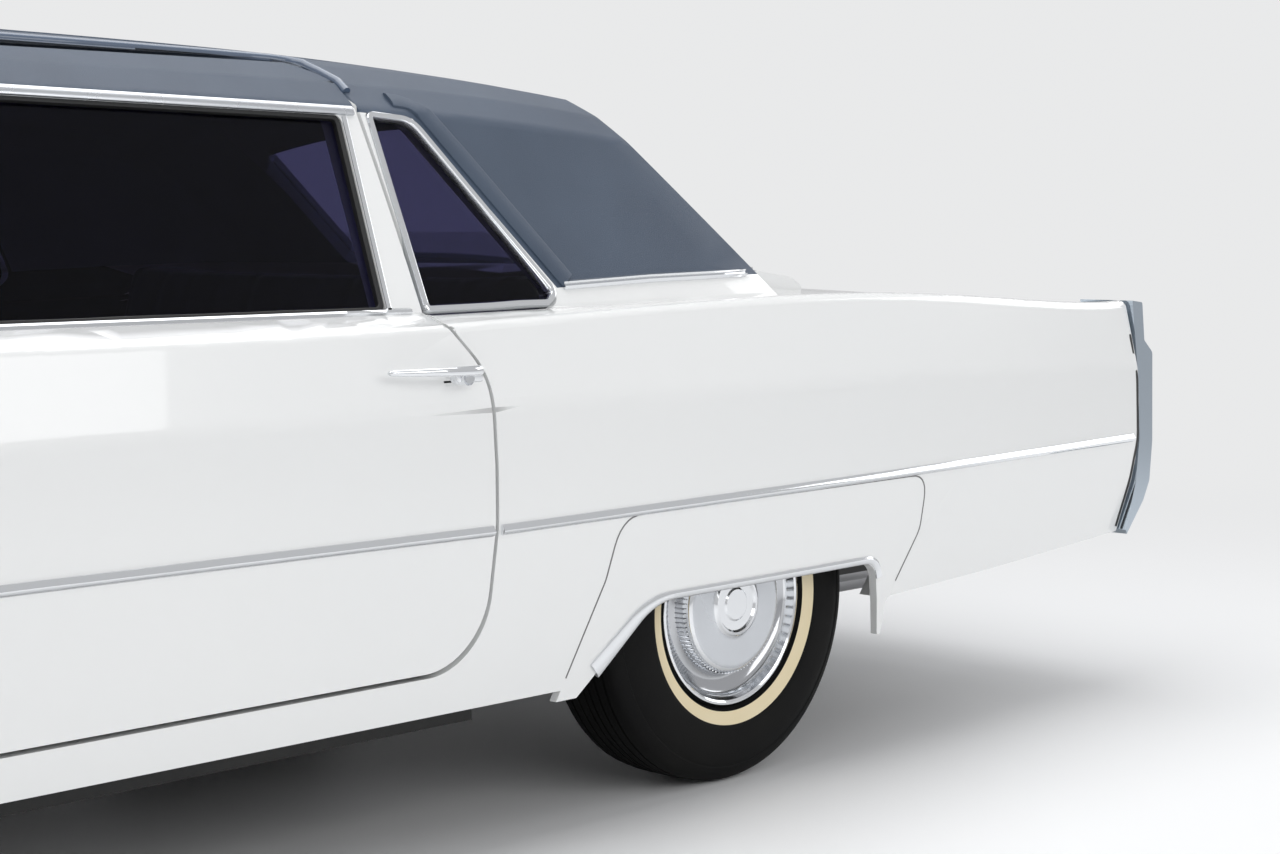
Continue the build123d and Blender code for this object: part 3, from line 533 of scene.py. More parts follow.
def sweepStrip(name, places, normals, profile, material, closed=False, spread=None):
    # a grid rolled into a strip: profile gives (across, proud) round the section
    rows, ring = len(places), len(profile)
    strip = addShape("grid", x_subdivisions=ring, y_subdivisions=rows - 1, size=2)
    strip.name = name
    for vertex in strip.data.vertices:
        column = round((vertex.co.x + 1) / 2 * ring) % ring
        row = round((vertex.co.y + 1) / 2 * (rows - 1))
        atSeam = closed and row in (0, rows - 1)
        ahead = places[(row + 1) % (rows - 1) if atSeam else min(row + 1, rows - 1)]
        behind = places[rows - 2 if atSeam else max(row - 1, 0)]
        along = (ahead - behind).normalized()
        outward = (normals[row] - along * normals[row].dot(along)).normalized()
        across = along.cross(outward)
        wide = spread[row] if spread else 1.0
        vertex.co = places[row] + across * profile[column][0] * wide + outward * profile[column][1]
    ends = [] if closed else [("fill_holes", {"sides": 0})]
    editMesh(everything, ("remove_doubles", {"threshold": 0.00001}), *ends, everything, facesOut)
    strip.data.materials.append(material)
    smoothShade(strip, 40)
    return strip


def mirrored(piece, name):
    copy = duplicateOf(piece)
    copy.parent = None
    copy.name = name
    copy.scale = (1, -1, 1)
    bpy.ops.object.transform_apply(location=False, rotation=False, scale=True)
    editMesh(everything, facesOut)
    return copy


def bothSides(piece, name, body="body"):
    # the left piece and its mirror image; a door's or wheel's piece rides the door or wheel of its own side
    piece.name = f"{name}_left"
    other = mirrored(piece, f"{name}_right")
    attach(piece, body.replace("SIDE", "left"))
    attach(other, body.replace("SIDE", "right"))
    return piece, other


def halfRound(width, proud, sunk=0.002, points=7):
    # a bead's section: flat back sunk in the panel, rounded face
    face = [(-width / 2 * math.cos(math.pi * k / (points - 1)), proud * math.sin(math.pi * k / (points - 1)))
            for k in range(points)]
    return [(face[0][0], -sunk)] + face + [(face[-1][0], -sunk)]


# Bright side moulding in four lengths, each on its own panel
moulding = {
    "heights": [(-2.975, 0.604), (-1.994, 0.598), (-1.358, 0.594), (-0.83, 0.59), (0.142, 0.596),
                (1.5, 0.5965), (2.93, 0.59)],
    "section": [(-0.009, -0.002), (-0.009, 0.003), (-0.0035, 0.0085), (0.0, 0.0095), (0.0035, 0.006),
                (0.009, 0.003), (0.009, -0.002)],
    "lengths": {
        "moulding_quarter": (-2.962, -0.8455, "body"),
        "moulding_rear_door": (-0.8255, 0.422, "door_rear_SIDE"),
        "moulding_front_door": (0.441, 1.494, "door_front_SIDE"),
        "moulding_fender": (1.512, 2.915, "body"),
    },
}


def heightAt(x, table):
    for (x0, z0), (x1, z1) in zip(table, table[1:]):
        if x <= x1:
            return z0 + (z1 - z0) * (x - x0) / (x1 - x0)
    return table[-1][1]


def layTrack(name, track, section, material, body="body", tree=None, lift=0.0, spread=None, closed=False):
    places, normals = onSide(track, tree, lift)
    return bothSides(sweepStrip(name, places, normals, section, material, closed, spread), name, body)


for name, (x0, x1, body) in moulding["lengths"].items():
    count = max(4, int((x1 - x0) / 0.06))
    track = [(x0 + (x1 - x0) * k / count, heightAt(x0 + (x1 - x0) * k / count, moulding["heights"]))
             for k in range(count + 1)]
    layTrack(name, track, moulding["section"], chrome, body)
print("side mouldings laid")


# Window surrounds, rails and the roof gutter
cabinTrims = {
    "quarterOutline": [(-0.75, 1.306), (-0.858, 1.298), (-1.086, 0.985), (-1.06, 0.962), (-0.75, 0.958)],
    "quarterRadii": [0.01, 0.055, 0.03, 0.022, 0.01],
    "rearWindow": [(0.388, 0.962), (0.388, 1.318), (-0.694, 1.299), (-0.667, 0.962)],
    "frontWindow": [(0.476, 0.962), (0.476, 1.319), (0.925, 1.308), (1.318, 0.962)],
}


def insetTrack(points, amount):
    # a closed outline drawn in or out by moving each side along its normal
    count = len(points)
    area = sum(points[i][0] * points[(i + 1) % count][1] - points[(i + 1) % count][0] * points[i][1]
               for i in range(count))
    turn = 1 if area > 0 else -1
    result = []
    for i in range(count):
        here = Vector(points[i])
        back = (here - Vector(points[i - 1])).normalized()
        ahead = (Vector(points[(i + 1) % count]) - here).normalized()
        n0, n1 = Vector((-back.y, back.x)) * turn, Vector((-ahead.y, ahead.x)) * turn
        result.append(here + (n0 + n1) * (amount / max(1 + n0.dot(n1), 0.2)))
    return result


def layFrame(name, outline, radii, inset, tree, lift, section, material, body):
    track = softTrack(insetTrack(outline, inset), radii, closed=True, step=0.06)
    return layTrack(name, track, section, material, body, tree, lift, closed=True)


def boxSection(width, low, high, ease=0.0015):
    half = width / 2
    return [(-half, low), (-half, high - ease), (-half + ease, high), (half - ease, high), (half, high - ease),
            (half, low)]


# quarter window: bright frame from the glass out to the panel
layFrame("quarter_frame", cabinTrims["quarterOutline"], cabinTrims["quarterRadii"], 0.0075, quarterGlass, 0.0,
         [(-0.007, 0.0), (-0.007, 0.012), (-0.0045, 0.0165), (0.0, 0.0175), (0.0045, 0.0165), (0.007, 0.012),
          (0.007, 0.0)], chrome, "body")
# door windows: black rubber against the glass
for end in ("front", "rear"):
    outline = cabinTrims[f"{end}Window"]
    layFrame(f"{end}_window_rubber", outline, 0.014, 0.0055, doorGlass, 0.0, boxSection(0.0105, 0.0, 0.0105),
             rubber, f"door_{end}_SIDE")


def layOpen(name, track, section, material, body, radii=0.0):
    return layTrack(name, softTrack(track, radii), section, material, body)


# satin rail above the door glass, and the bright upright behind the rear one
railSection = [(-0.0085, -0.002), (-0.0085, 0.004), (-0.006, 0.0055), (0.006, 0.0055), (0.0085, 0.004),
               (0.0085, -0.002)]
layOpen("rear_door_rail", [(-0.722, 1.3065), (0.416, 1.3265)], railSection, satinTrim, "door_rear_SIDE")
layOpen("front_door_rail", [(0.44, 1.3265), (0.93, 1.3185), (1.34, 0.97)], railSection, satinTrim,
        "door_front_SIDE", radii=0.03)
layOpen("rear_door_upright", [(-0.6735, 0.972), (-0.7, 1.2965)], halfRound(0.011, 0.005), chrome,
        "door_rear_SIDE")
print("window frames laid")


def layAlong(name, points, direction, section, material, body, tree=None, pairs=True, step=0.05, standoff=0.12):
    # three-dimensional points settled on what lies under them, looking along one direction
    run = []
    for a, b in zip(points, points[1:]):
        a, b = Vector(a), Vector(b)
        pieces = max(1, int((b - a).length / step))
        run += [a.lerp(b, k / pieces) for k in range(pieces)]
    run.append(Vector(points[-1]))
    found = [castOn(tree or skin, point - Vector(direction).normalized() * standoff, direction) for point in run]
    places, normals = [place for place, normal in found], [normal for place, normal in found]
    strip = sweepStrip(name, places, normals, section, material)
    if pairs:
        return bothSides(strip, name, body)
    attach(strip, body)
    return strip


# belt strip standing at the foot of the door glass
beltSection = [(-0.006, -0.002), (-0.006, 0.006), (-0.003, 0.009), (0.002, 0.009), (0.006, 0.004), (0.006, -0.002)]
for name, x0, x1, body in (("rear_belt", -0.716, 0.416, "door_rear_SIDE"),
                           ("front_belt", 0.442, 1.372, "door_front_SIDE")):
    layAlong(name, [(x0, 0.9245, 0.966), (x1, 0.9245, 0.966)], (0, -0.25, -1), beltSection, chrome, body)

# gutter: blue bead along the top edge of the door openings, down a little at its rear end
gutterTop = [(0.9, 0.576, 1.404), (0.42, 0.572, 1.413), (-0.164, 0.571, 1.413), (-0.6, 0.571, 1.407),
             (-0.7, 0.573, 1.404), (-0.73, 0.585, 1.401), (-0.745, 0.612, 1.394), (-0.748, 0.655, 1.376),
             (-0.748, 0.7, 1.352), (-0.745, 0.727, 1.334)]
layAlong("gutter", gutterTop, (0, -0.55, -0.83), halfRound(0.016, 0.009, 0.003), roofPaint, "body")

# bright strip where the roof covering meets the rear panels, round the corner to the rear glass
baseLine = [(-1.102, 1.001), (-1.335, 1.0095), (-1.62, 1.0145), (-1.8, 1.0155)]
baseSection = [(-0.009, -0.002), (-0.009, 0.004), (-0.005, 0.008), (-0.001, 0.004), (0.003, 0.007), (0.008, 0.003),
               (0.008, -0.002)]
layOpen("roof_base_strip", baseLine, baseSection, chrome, "body")
print("roof trims laid")

# bright lips round the wheel openings: wider at the front foot of the rear one, like its guard
archTrims = {
    "rear": [(-1.02, 0.2), (-1.261, 0.412), (-1.95, 0.414), (-1.975, 0.33), (-2.005, 0.2)],
    "rearRadii": [0, 0.157, 0.057, 0, 0],
    "front": [(1.77, 0.15), (1.805, 0.42), (1.9, 0.7), (2.5, 0.7), (2.595, 0.42), (2.63, 0.15)],
    "frontRadii": [0, 0.227, 0.237, 0.237, 0.227, 0],
    "skirt": [(-1.03, 0.255), (-1.125, 0.47), (-1.15, 0.586), (-2.095, 0.588), (-2.095, 0.47), (-2.005, 0.32),
              (-2.005, 0.255)],
    "skirtRadii": [0, 0.06, 0.075, 0.075, 0.06, 0, 0],
}


def archTrack(outline, radii, out, lowest):
    line = softTrack(insetTrack(outline, -out), radii, step=0.04)
    return [point for point in line if point.y > lowest(point.x)]


rearLip = archTrack(archTrims["rear"], archTrims["rearRadii"], 0.008, lambda x: 0.277 if x > -1.5 else 0.338)
reach = [max(0.0, 1.0 - k / (len(rearLip) * 0.3)) for k in range(len(rearLip))]
lipSection = [(-0.008, -0.004), (-0.008, 0.003), (-0.004, 0.006), (0.004, 0.005), (0.008, 0.002), (0.008, -0.004)]
layTrack("rear_arch_lip", rearLip, lipSection, chrome, spread=[1.0 + 1.3 * r for r in reach])
frontLip = archTrack(archTrims["front"], archTrims["frontRadii"], 0.008, lambda x: 0.28)
layTrack("front_arch_lip", frontLip, halfRound(0.014, 0.006, 0.003), chrome)
# painted shadow: a thin dark strip round the removable skirt stands in for the shade in its gap
skirtLine = archTrack(archTrims["skirt"], archTrims["skirtRadii"], 0.0, lambda x: 0.272 if x > -1.5 else 0.345)
gapShadowSection = [(-0.0018, -0.001), (-0.0014, 0.0007), (0.0014, 0.0007), (0.0018, -0.001)]
layTrack("skirt_seal", skirtLine, gapShadowSection, gapShade)


# Wheel covers and tyres: turned about the axle, one modelled and copied to the four wheels
wheel = {
    "coverOutline": [(0.0985, 0.0), (0.0985, 0.03), (0.096, 0.034), (0.096, 0.052), (0.1, 0.056),
                     (0.1005, 0.061), (0.096, 0.066), (0.0945, 0.072), (0.096, 0.12), (0.095, 0.128),
                     (0.091, 0.134), (0.084, 0.137), (0.06, 0.14), (0.0555, 0.144), (0.052, 0.152),
                     (0.052, 0.156), (0.057, 0.176), (0.064, 0.185), (0.075, 0.19), (0.086, 0.1935),
                     (0.0885, 0.1975), (0.0875, 0.202), (0.083, 0.205), (0.076, 0.2062), (0.074, 0.196),
                     (0.04, 0.186), (-0.07, 0.186), (-0.078, 0.196), (-0.084, 0.2), (-0.084, 0.186),
                     (-0.076, 0.178), (0.02, 0.176), (0.026, 0.15), (0.03, 0.06), (0.03, 0.0)],
    "finCount": 90,
    "fin": {"place": (0, 0.0715, 0.1395), "size": (0.0026, 0.029, 0.0034), "ease": 0.0008},
    "satinBand": (0.068, 0.13),
    "dishBand": (0.139, 0.184),
    "whitewallBand": (0.2145, 0.2415),
    "shoulderBand": (0.328, 0.3556),
    "shoulderCut": 0.0022,
    "tyreOutline": [(0.069, 0.1965), (0.076, 0.2085), (0.085, 0.213), (0.0905, 0.215), (0.0985, 0.241),
                    (0.101, 0.244), (0.1025, 0.252), (0.1028, 0.27), (0.102, 0.288), (0.0995, 0.305),
                    (0.0955, 0.318), (0.0925, 0.324), (0.0935, 0.327), (0.0915, 0.333), (0.0865, 0.343),
                    (0.08, 0.3505), (0.072, 0.3545), (0.056, 0.3565), (0.0555, 0.35), (0.051, 0.35),
                    (0.0505, 0.3572), (0.033, 0.3578), (0.0325, 0.351), (0.028, 0.351), (0.0275, 0.358),
                    (0.011, 0.358), (0.0105, 0.351), (0.006, 0.351), (0.0055, 0.358)],
    "tyreSteps": 150,
}
wheel["tyreOutline"] += [(-y, r) for y, r in reversed(wheel["tyreOutline"])]


def turnProfile(name, outline, steps, material, closed=False):
    # one vertex drawn out into the profile, then spun about the axle
    turned = addShape("plane", size=0.01)
    turned.name = name
    bpy.ops.object.mode_set(mode="EDIT")
    bpy.ops.mesh.merge(type="CENTER")
    bpy.ops.transform.translate(value=(0, outline[0][0], outline[0][1]))
    line = outline + [outline[0]] if closed else outline
    for (y0, r0), (y1, r1) in zip(line, line[1:]):
        bpy.ops.mesh.extrude_vertices_move(TRANSFORM_OT_translate={"value": (0, y1 - y0, r1 - r0)})
    editMesh(everything, ("spin", {"steps": steps, "angle": 2 * math.pi, "center": (0, 0, 0), "axis": (0, 1, 0)}),
             everything, ("remove_doubles", {"threshold": 0.00002}), facesOut)
    turned.data.materials.append(material)
    return turned


def inBand(place, band):
    low, high = wheel[band]
    return low < math.hypot(place.x, place.z) < high


def makeCover():
    cover = turnProfile("wheel_cover", wheel["coverOutline"], 96, chrome)
    paintFaces(cover, satinTrim, lambda c, n: c.y > 0.09 and inBand(c, "satinBand"))
    paintFaces(cover, darkDish, lambda c, n: 0.045 < c.y < 0.07 and inBand(c, "dishBand"))
    paintFaces(cover, steel, lambda c, n: c.y < 0.05)
    smoothShade(cover, 30)
    # fine ribs round the side of the raised drum
    fins = addShape("cube", size=1, location=wheel["fin"]["place"], scale=wheel["fin"]["size"])
    fins.name = "cover_fins"
    applyPlace(fins)
    editMesh(everything, ("bevel", {"offset": wheel["fin"]["ease"], "segments": 1, "affect": "EDGES"}),
             ("spin", {"steps": wheel["finCount"], "angle": 2 * math.pi, "center": (0, 0, 0), "axis": (0, 1, 0),
                       "dupli": True}))
    fins.data.materials.append(chrome)
    joinPieces((fins, cover), cover)
    return cover


def makeTyre():
    tyre = turnProfile("tyre", wheel["tyreOutline"], wheel["tyreSteps"], tyreRubber)
    paintFaces(tyre, whitewall, lambda c, n: c.y > 0.088 and inBand(c, "whitewallBand"))
    smoothShade(tyre, 32)
    # cross cuts in the shoulders, every other step pressed in a little
    pickOnly(tyre)
    for face in tyre.data.polygons:
        step = round((math.atan2(face.center.z, face.center.x) / (2 * math.pi)) * wheel["tyreSteps"] - 0.5)
        onShoulder = 0.056 < abs(face.center.y) < 0.0935 and inBand(face.center, "shoulderBand")
        face.select = onShoulder and step % 2 == 0
    press = {"TRANSFORM_OT_shrink_fatten": {"value": -wheel["shoulderCut"]}}
    editMesh(faceMode, ("extrude_region_shrink_fatten", press), vertexMode)
    return tyre


def placeWheels():
    cover, tyre = makeCover(), makeTyre()
    for place, (x, y, z, sign) in wheelPlaces.items():
        for model, node in ((cover, f"wheel_{place}"), (tyre, f"tyre_{place}")):
            piece = duplicateOf(model)
            if sign < 0:
                piece = mirrored(piece, "turned")
                old = [o for o in bpy.data.objects if o.name.startswith(model.name + ".")]
                for o in old:
                    bpy.data.objects.remove(o)
            piece.name = f"{node}_detail"
            piece.location = (x, y, z)
            applyPlace(piece)
            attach(piece, bodyOf[node])
            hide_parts(node)
    bpy.data.objects.remove(cover)
    bpy.data.objects.remove(tyre)


placeWheels()
print("wheels turned and placed")


# Door handles: a slim pull bar on two feet with its push button behind
handle = {
    "length": 0.205,
    "bar": [(0.0, 0.004, 0.01), (0.025, 0.014, 0.012), (0.09, 0.024, 0.015), (0.15, 0.025, 0.017),
            (0.19, 0.018, 0.019), (0.205, 0.006, 0.016)],
    "height": 0.872,
    "drop": {"rear": -0.003, "front": 0.0},
    "button": {"back": 0.16, "below": 0.014, "radius": 0.0125, "depth": 0.034},
    "housing": {"back": 0.172, "below": 0.01, "size": (0.06, 0.016, 0.026), "ease": 0.006},
    "proud": 0.006,
}


def makeHandle(end):
    x0, z0, drop = panels["handleFronts"][end], handle["height"], handle["drop"][end]
    push, box, proud = handle["button"], handle["housing"], handle["proud"]
    ends, normals = onSide([(x0 - handle["length"] * t, z0) for t in (0.0, 1.0)])
    bar = addShape("circle", vertices=16, radius=0.5, fill_type="NGON", rotation=(0, math.pi / 2, 0))
    applyPlace(bar)
    pickOnly(bar)
    bpy.ops.object.mode_set(mode="EDIT")
    bpy.ops.mesh.select_all(action="SELECT")
    last = None
    for along, out, tall in handle["bar"]:
        share = along / handle["length"]
        centre = Vector((x0 - along, ends[0].y + (ends[1].y - ends[0].y) * share + out, z0 + drop * share))
        if last is None:
            bpy.ops.transform.resize(value=(1, 0.01, tall))
            bpy.ops.transform.translate(value=centre)
        else:
            bpy.ops.mesh.extrude_region_move(TRANSFORM_OT_translate={"value": centre - last[0]})
            bpy.ops.transform.resize(value=(1, 1.12 if along < 0.1 else 1.0, tall / last[1]),
                                     center_override=centre)
        last = (centre, tall)
    editMesh(everything, facesOut)
    bar.data.materials.append(chrome)
    rounded = bar.modifiers.new("soft edges", "SUBSURF")
    rounded.levels = rounded.render_levels = 1
    applyModifiers(bar)
    smoothShade(bar, 60)
    # rear housing with the round push button
    seat = onSide([(x0 - push["back"], z0 - push["below"])])[0][0]
    button = addShape("cylinder", vertices=28, radius=push["radius"], depth=push["depth"],
                      rotation=(math.pi / 2, 0, 0), location=(seat.x, seat.y + proud, seat.z))
    applyPlace(button)
    bpy.ops.object.mode_set(mode="EDIT")
    bpy.ops.mesh.select_all(action="DESELECT")
    bpy.ops.object.mode_set(mode="OBJECT")
    for face in button.data.polygons:
        face.select = face.normal.y > 0.9
    bpy.ops.object.mode_set(mode="EDIT")
    bpy.ops.mesh.inset(thickness=0.0022)
    bpy.ops.transform.translate(value=(0, -0.0025, 0))
    bpy.ops.mesh.inset(thickness=0.001)
    bpy.ops.transform.translate(value=(0, 0.004, 0))
    bpy.ops.object.mode_set(mode="OBJECT")
    button.data.materials.append(chrome)
    smoothShade(button, 40)
    housing = addShape("cube", size=1, location=(x0 - box["back"], ends[1].y + proud, z0 - box["below"]),
                       scale=box["size"])
    applyPlace(housing)
    easeEdges(housing, box["ease"], 3)
    housing.data.materials.append(chrome)
    smoothShade(housing, 60)
    joinPieces((housing, button, bar), bar)
    bothSides(bar, f"{end}_door_handle", f"door_{end}_SIDE")


makeHandle("rear")
makeHandle("front")
print("door handles fitted")


# Screens: bright surrounds laid in the plane of each glass, and the wipers
screens = {
    "windshield": {"low": (1.625, 0.985), "high": (1.075, 1.435), "radii": [0, 0.066, 0.046, 0.046, 0.066, 0],
                   "half": [(0.3, 0.048), (0.83, 0.195), (0.628, 0.672)]},
    "rear_window": {"low": (-2.073, 1.01), "high": (-1.604, 1.346), "radii": [0, 0.066, 0.056, 0.056, 0.066, 0],
                    "half": [(0.2, 0.045), (0.565, 0.165), (0.51, 0.59)]},
}


def screenFrame(screen):
    up = Vector((screen["high"][0] - screen["low"][0], 0, screen["high"][1] - screen["low"][1])).normalized()
    outward = Vector((up.z, 0, -up.x))
    if outward.z < 0:
        outward = -outward
    return Vector((screen["low"][0], 0, screen["low"][1])), up, outward


def onScreen(screen, track, tree, standoff=0.35):
    base, up, outward = screenFrame(screen)
    found = [castOn(tree, base + Vector((0, y, 0)) + up * v + outward * standoff, -outward) for y, v in track]
    return [place for place, normal in found], [normal for place, normal in found]


for name, screen in screens.items():
    outline = screen["half"] + [(-y, v) for y, v in reversed(screen["half"])]
    track = softTrack(insetTrack(outline, -0.009), screen["radii"], closed=True, step=0.05)
    places, normals = onScreen(screen, track, skin)
    surround = sweepStrip(f"{name}_surround", places, normals, halfRound(0.017, 0.006, 0.003), chrome, closed=True)
    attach(surround, "body")
wipers = {
    "wiper_left": [(0.69, 0.168), (0.42, 0.11), (0.17, 0.092)],
    "wiper_right": [(-0.075, 0.098), (-0.33, 0.112), (-0.59, 0.15)],
}
wiperSection = [(-0.004, 0.0), (-0.0015, 0.007), (-0.005, 0.009), (-0.003, 0.014), (0.003, 0.014), (0.005, 0.009),
                (0.0015, 0.007), (0.004, 0.0)]
for name, line in wipers.items():
    places, normals = onScreen(screens["windshield"], softTrack(line, 0.3, step=0.04), frontGlass)
    blade = sweepStrip(name, places, normals, wiperSection, satinTrim)
    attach(blade, "body")

# Roof covering: two sewn seams along the roof and the raised border behind the quarter window
for sign, side in ((1, "left"), (-1, "right")):
    seam = [(x, sign * 0.335, z) for x, z in ((1.02, 1.45), (-0.4, 1.47), (-1.54, 1.4))]
    layAlong(f"roof_seam_{side}", seam, (0, 0, -1), halfRound(0.007, 0.0022, 0.001, 5), vinyl, "body", pairs=False)
layOpen("roof_border", [(-0.828, 1.33), (-0.876, 1.3255), (-1.116, 1.01)],
        [(-0.021, -0.001), (-0.02, 0.003), (-0.014, 0.0055), (0.0, 0.0062), (0.014, 0.0055), (0.02, 0.003),
         (0.021, -0.001)], vinyl, "body", radii=[0, 0.075, 0])
print("screens and roof covering dressed")


# Nose and tail: bright edges, lamp rims and the blank plate
def acrossEnd(name, x, z, half, direction, section, material, tree=None):
    points = [(x, half * (k / 12 - 1), z) for k in range(25)]
    return layAlong(name, points, direction, section, material, "body", tree, pairs=False)


acrossEnd("nose_edge", 2.975, 0.8955, 0.765, (-1, 0, 0), halfRound(0.016, 0.008, 0.003), chrome)
for name, x, z in (("tail_edge", -2.99, 0.895), ("tail_panel_edge", -3.01, 0.585)):
    acrossEnd(name, x, z, 0.775, (1, 0, 0), halfRound(0.014, 0.007, 0.003), chrome)
layAlong("hood_crest", [(2.9, 0, 0.93), (2.3, 0, 0.96), (1.76, 0, 0.99)], (0, 0, -1),
         halfRound(0.014, 0.008, 0.002), chrome, "hood", pairs=False)
podSeam = [(-2.9455, 0.925), (-2.98, 0.738), (-2.988, 0.6), (-2.977, 0.503), (-2.939, 0.392)]
podSection = [(-0.0045, -0.002), (-0.004, 0.0012), (0.004, 0.0012), (0.0045, -0.002)]
layOpen("pod_seam", podSeam, podSection, rubber, "body", radii=0.2)

lampRim = {
    "outline": [(0.0, 0.0745), (0.009, 0.0745), (0.013, 0.077), (0.014, 0.081), (0.01, 0.085),
                (0.0, 0.087)],
    "places": [(2.9903, 0.842, 0.66), (2.9903, 0.842, 0.815)],
}


def makeLampRims():
    rims = []
    for x, y, z in lampRim["places"]:
        rim = turnProfile("lamp_rim", lampRim["outline"], 48, chrome, closed=True)
        rim.rotation_euler = (0, 0, -math.pi / 2)
        rim.location = (x - 0.001, y, z)
        applyPlace(rim)
        smoothShade(rim, 40)
        rims.append(rim)
    joinPieces(rims, rims[0])
    bothSides(rims[0], "lamp_rims")


makeLampRims()


def easedBlock(name, place, size, ease, material, segments=3, turn=(0, 0, 0)):
    # a block with every edge rounded
    block = addShape("cube", size=1, location=place, rotation=turn, scale=size)
    block.name = name
    applyPlace(block)
    easeEdges(block, ease, segments)
    block.data.materials.append(material)
    smoothShade(block, 50)
    return block


def pressIn(block, axis, sign, thickness, depth):
    # a raised rim round one face
    pickFaces(block, lambda face: face.normal[axis] * sign > 0.95)
    bpy.ops.object.mode_set(mode="EDIT")
    bpy.ops.mesh.select_mode(type="FACE")
    bpy.ops.mesh.inset(thickness=thickness)
    move = [0, 0, 0]
    move[axis] = -sign * depth
    bpy.ops.transform.translate(value=move)
    bpy.ops.mesh.select_mode(type="VERT")
    bpy.ops.object.mode_set(mode="OBJECT")


plate = {"place": (-3.0058, 0, 0.715), "size": (0.0026, 0.305, 0.152)}
blankPlate = easedBlock("blank_plate", plate["place"], plate["size"], 0.0008, plateEnamel, 2)
pressIn(blankPlate, 0, -1, 0.007, 0.0009)
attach(blankPlate, "body")
print("nose and tail dressed")


# Seats: pads blown up like stuffed cushions, with sewn channels pressed in afterwards
seats = {
    "front_seat": {
        "pads": [([(0.57, 0.452), (1.075, 0.44), (1.078, 0.56), (0.56, 0.545)], -0.64, 0.64, 0.012),
                 ([(0.505, 0.47), (0.655, 0.52), (0.603, 1.0), (0.512, 1.005)], -0.635, 0.635, 0.012)],
        "plinth": (0.8, 0, 0.375, 0.44, 1.16, 0.13), "channel": 0.107},
    "rear_seat": {
        "pads": [([(-1.165, 0.45), (-0.65, 0.44), (-0.645, 0.575), (-1.165, 0.555)], -0.64, 0.64, 0.012),
                 ([(-1.29, 0.54), (-1.12, 0.56), (-1.245, 1.015), (-1.4, 1.01)], -0.635, 0.635, 0.012)],
        "plinth": (-0.915, 0, 0.375, 0.46, 1.16, 0.13), "channel": 0.107},
    "jump_seats": {
        "pads": [([(0.16, 0.495), (0.35, 0.49), (0.352, 0.545), (0.156, 0.55)], 0.23, 0.57, 0.007),
                 ([(0.357, 0.54), (0.408, 0.54), (0.406, 0.885), (0.36, 0.885)], 0.23, 0.57, 0.006),
                 ([(0.16, 0.495), (0.35, 0.49), (0.352, 0.545), (0.156, 0.55)], -0.57, -0.23, 0.007),
                 ([(0.357, 0.54), (0.408, 0.54), (0.406, 0.885), (0.36, 0.885)], -0.57, -0.23, 0.006)],
        "plinth": None, "channel": 0.085},
}


padding = {
    "rounding": 0.018, "voxelWide": 0.014, "voxelSmall": 0.009, "pressure": 4, "frames": 20,
    "seamDepth": 0.007, "seamMargin": 0.045, "fill": 0.7,
}


def makePad(name, outline, y0, y1, channel, swell):
    pad = addShape("cube", size=2)
    pad.name = name
    corner = {(-1, -1): 0, (1, -1): 1, (1, 1): 2, (-1, 1): 3}
    for vertex in pad.data.vertices:
        x, z = outline[corner[(round(vertex.co.x), round(vertex.co.z))]]
        vertex.co = (x, y0 if vertex.co.y < 0 else y1, z)
    soft = pad.modifiers.new("rounding", "BEVEL")
    soft.width, soft.segments = padding["rounding"], 3
    skinned = pad.modifiers.new("even skin", "REMESH")
    skinned.mode, skinned.voxel_size = "VOXEL", padding["voxelWide"] if y1 - y0 > 1 else padding["voxelSmall"]
    applyModifiers(pad)
    rest = [v.co.copy() for v in pad.data.vertices]
    cloth = pad.modifiers.new("stuffing", "CLOTH")
    cloth.settings.use_pressure = True
    cloth.settings.uniform_pressure_force = padding["pressure"]
    cloth.settings.effector_weights.gravity = 0
    cloth.point_cache.frame_start, cloth.point_cache.frame_end = 1, padding["frames"]
    for step in range(1, padding["frames"] + 1):
        bpy.context.scene.frame_set(step)
    applyModifiers(pad)
    bpy.context.scene.frame_set(1)
    for vertex, start in zip(pad.data.vertices, rest):
        moved = vertex.co - start
        if moved.length > swell:
            vertex.co = start + moved.normalized() * swell
        # sewn channels run fore and aft across the pad
        across = math.cos(math.pi * (vertex.co.y - (y0 + y1) / 2) / channel)
        edge = min(vertex.co.y - y0, y1 - vertex.co.y)
        press = max(0.0, 1 - abs(across) * 5) * padding["seamDepth"] if edge > padding["seamMargin"] else 0.0
        middle = Vector((sum(p[0] for p in outline) / 4, vertex.co.y, sum(p[1] for p in outline) / 4))
        vertex.co += (middle - vertex.co).normalized() * press
    smoother = pad.modifiers.new("smooth skin", "SUBSURF")
    smoother.levels = smoother.render_levels = 1
    applyModifiers(pad)
    pad.data.materials.append(seatCloth)
    smoothShade(pad, 70)
    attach(pad, "body")
    return pad


for nodeName, seat in seats.items():
    pads = [makePad(f"{nodeName}_pad_{k}", outline, y0, y1, seat["channel"], swell)
            for k, (outline, y0, y1, swell) in enumerate(seat["pads"])]
    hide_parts(nodeName)
    if seat["plinth"]:
        x, y, z, long, wide, tall = seat["plinth"]
        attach(easedBlock(f"{nodeName}_plinth", (x, y, z), (long, wide, tall), 0.008, cabinTrim), "body")
    else:
        for side, sign in (("left", 1), ("right", -1)):
            stand = easedBlock(f"jump_seat_stand_{side}", (0.265, sign * 0.4, 0.403), (0.09, 0.16, 0.18), 0.01,
                               satinTrim)
            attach(stand, "body")
print("seats padded")


# Steering wheel: rim, two spokes, hub and the thin horn ring
helm = {"centre": (1.19, 0.4, 0.905), "axis": (-0.8617, 0, 0.5074), "radius": 0.2, "grip": 0.0118,
        "hornRadius": 0.128, "hornGrip": 0.0042, "hubRadius": 0.042, "hubDepth": 0.036,
        "spoke": (0.028, 0.16, 0.009), "spokeY": 0.113}


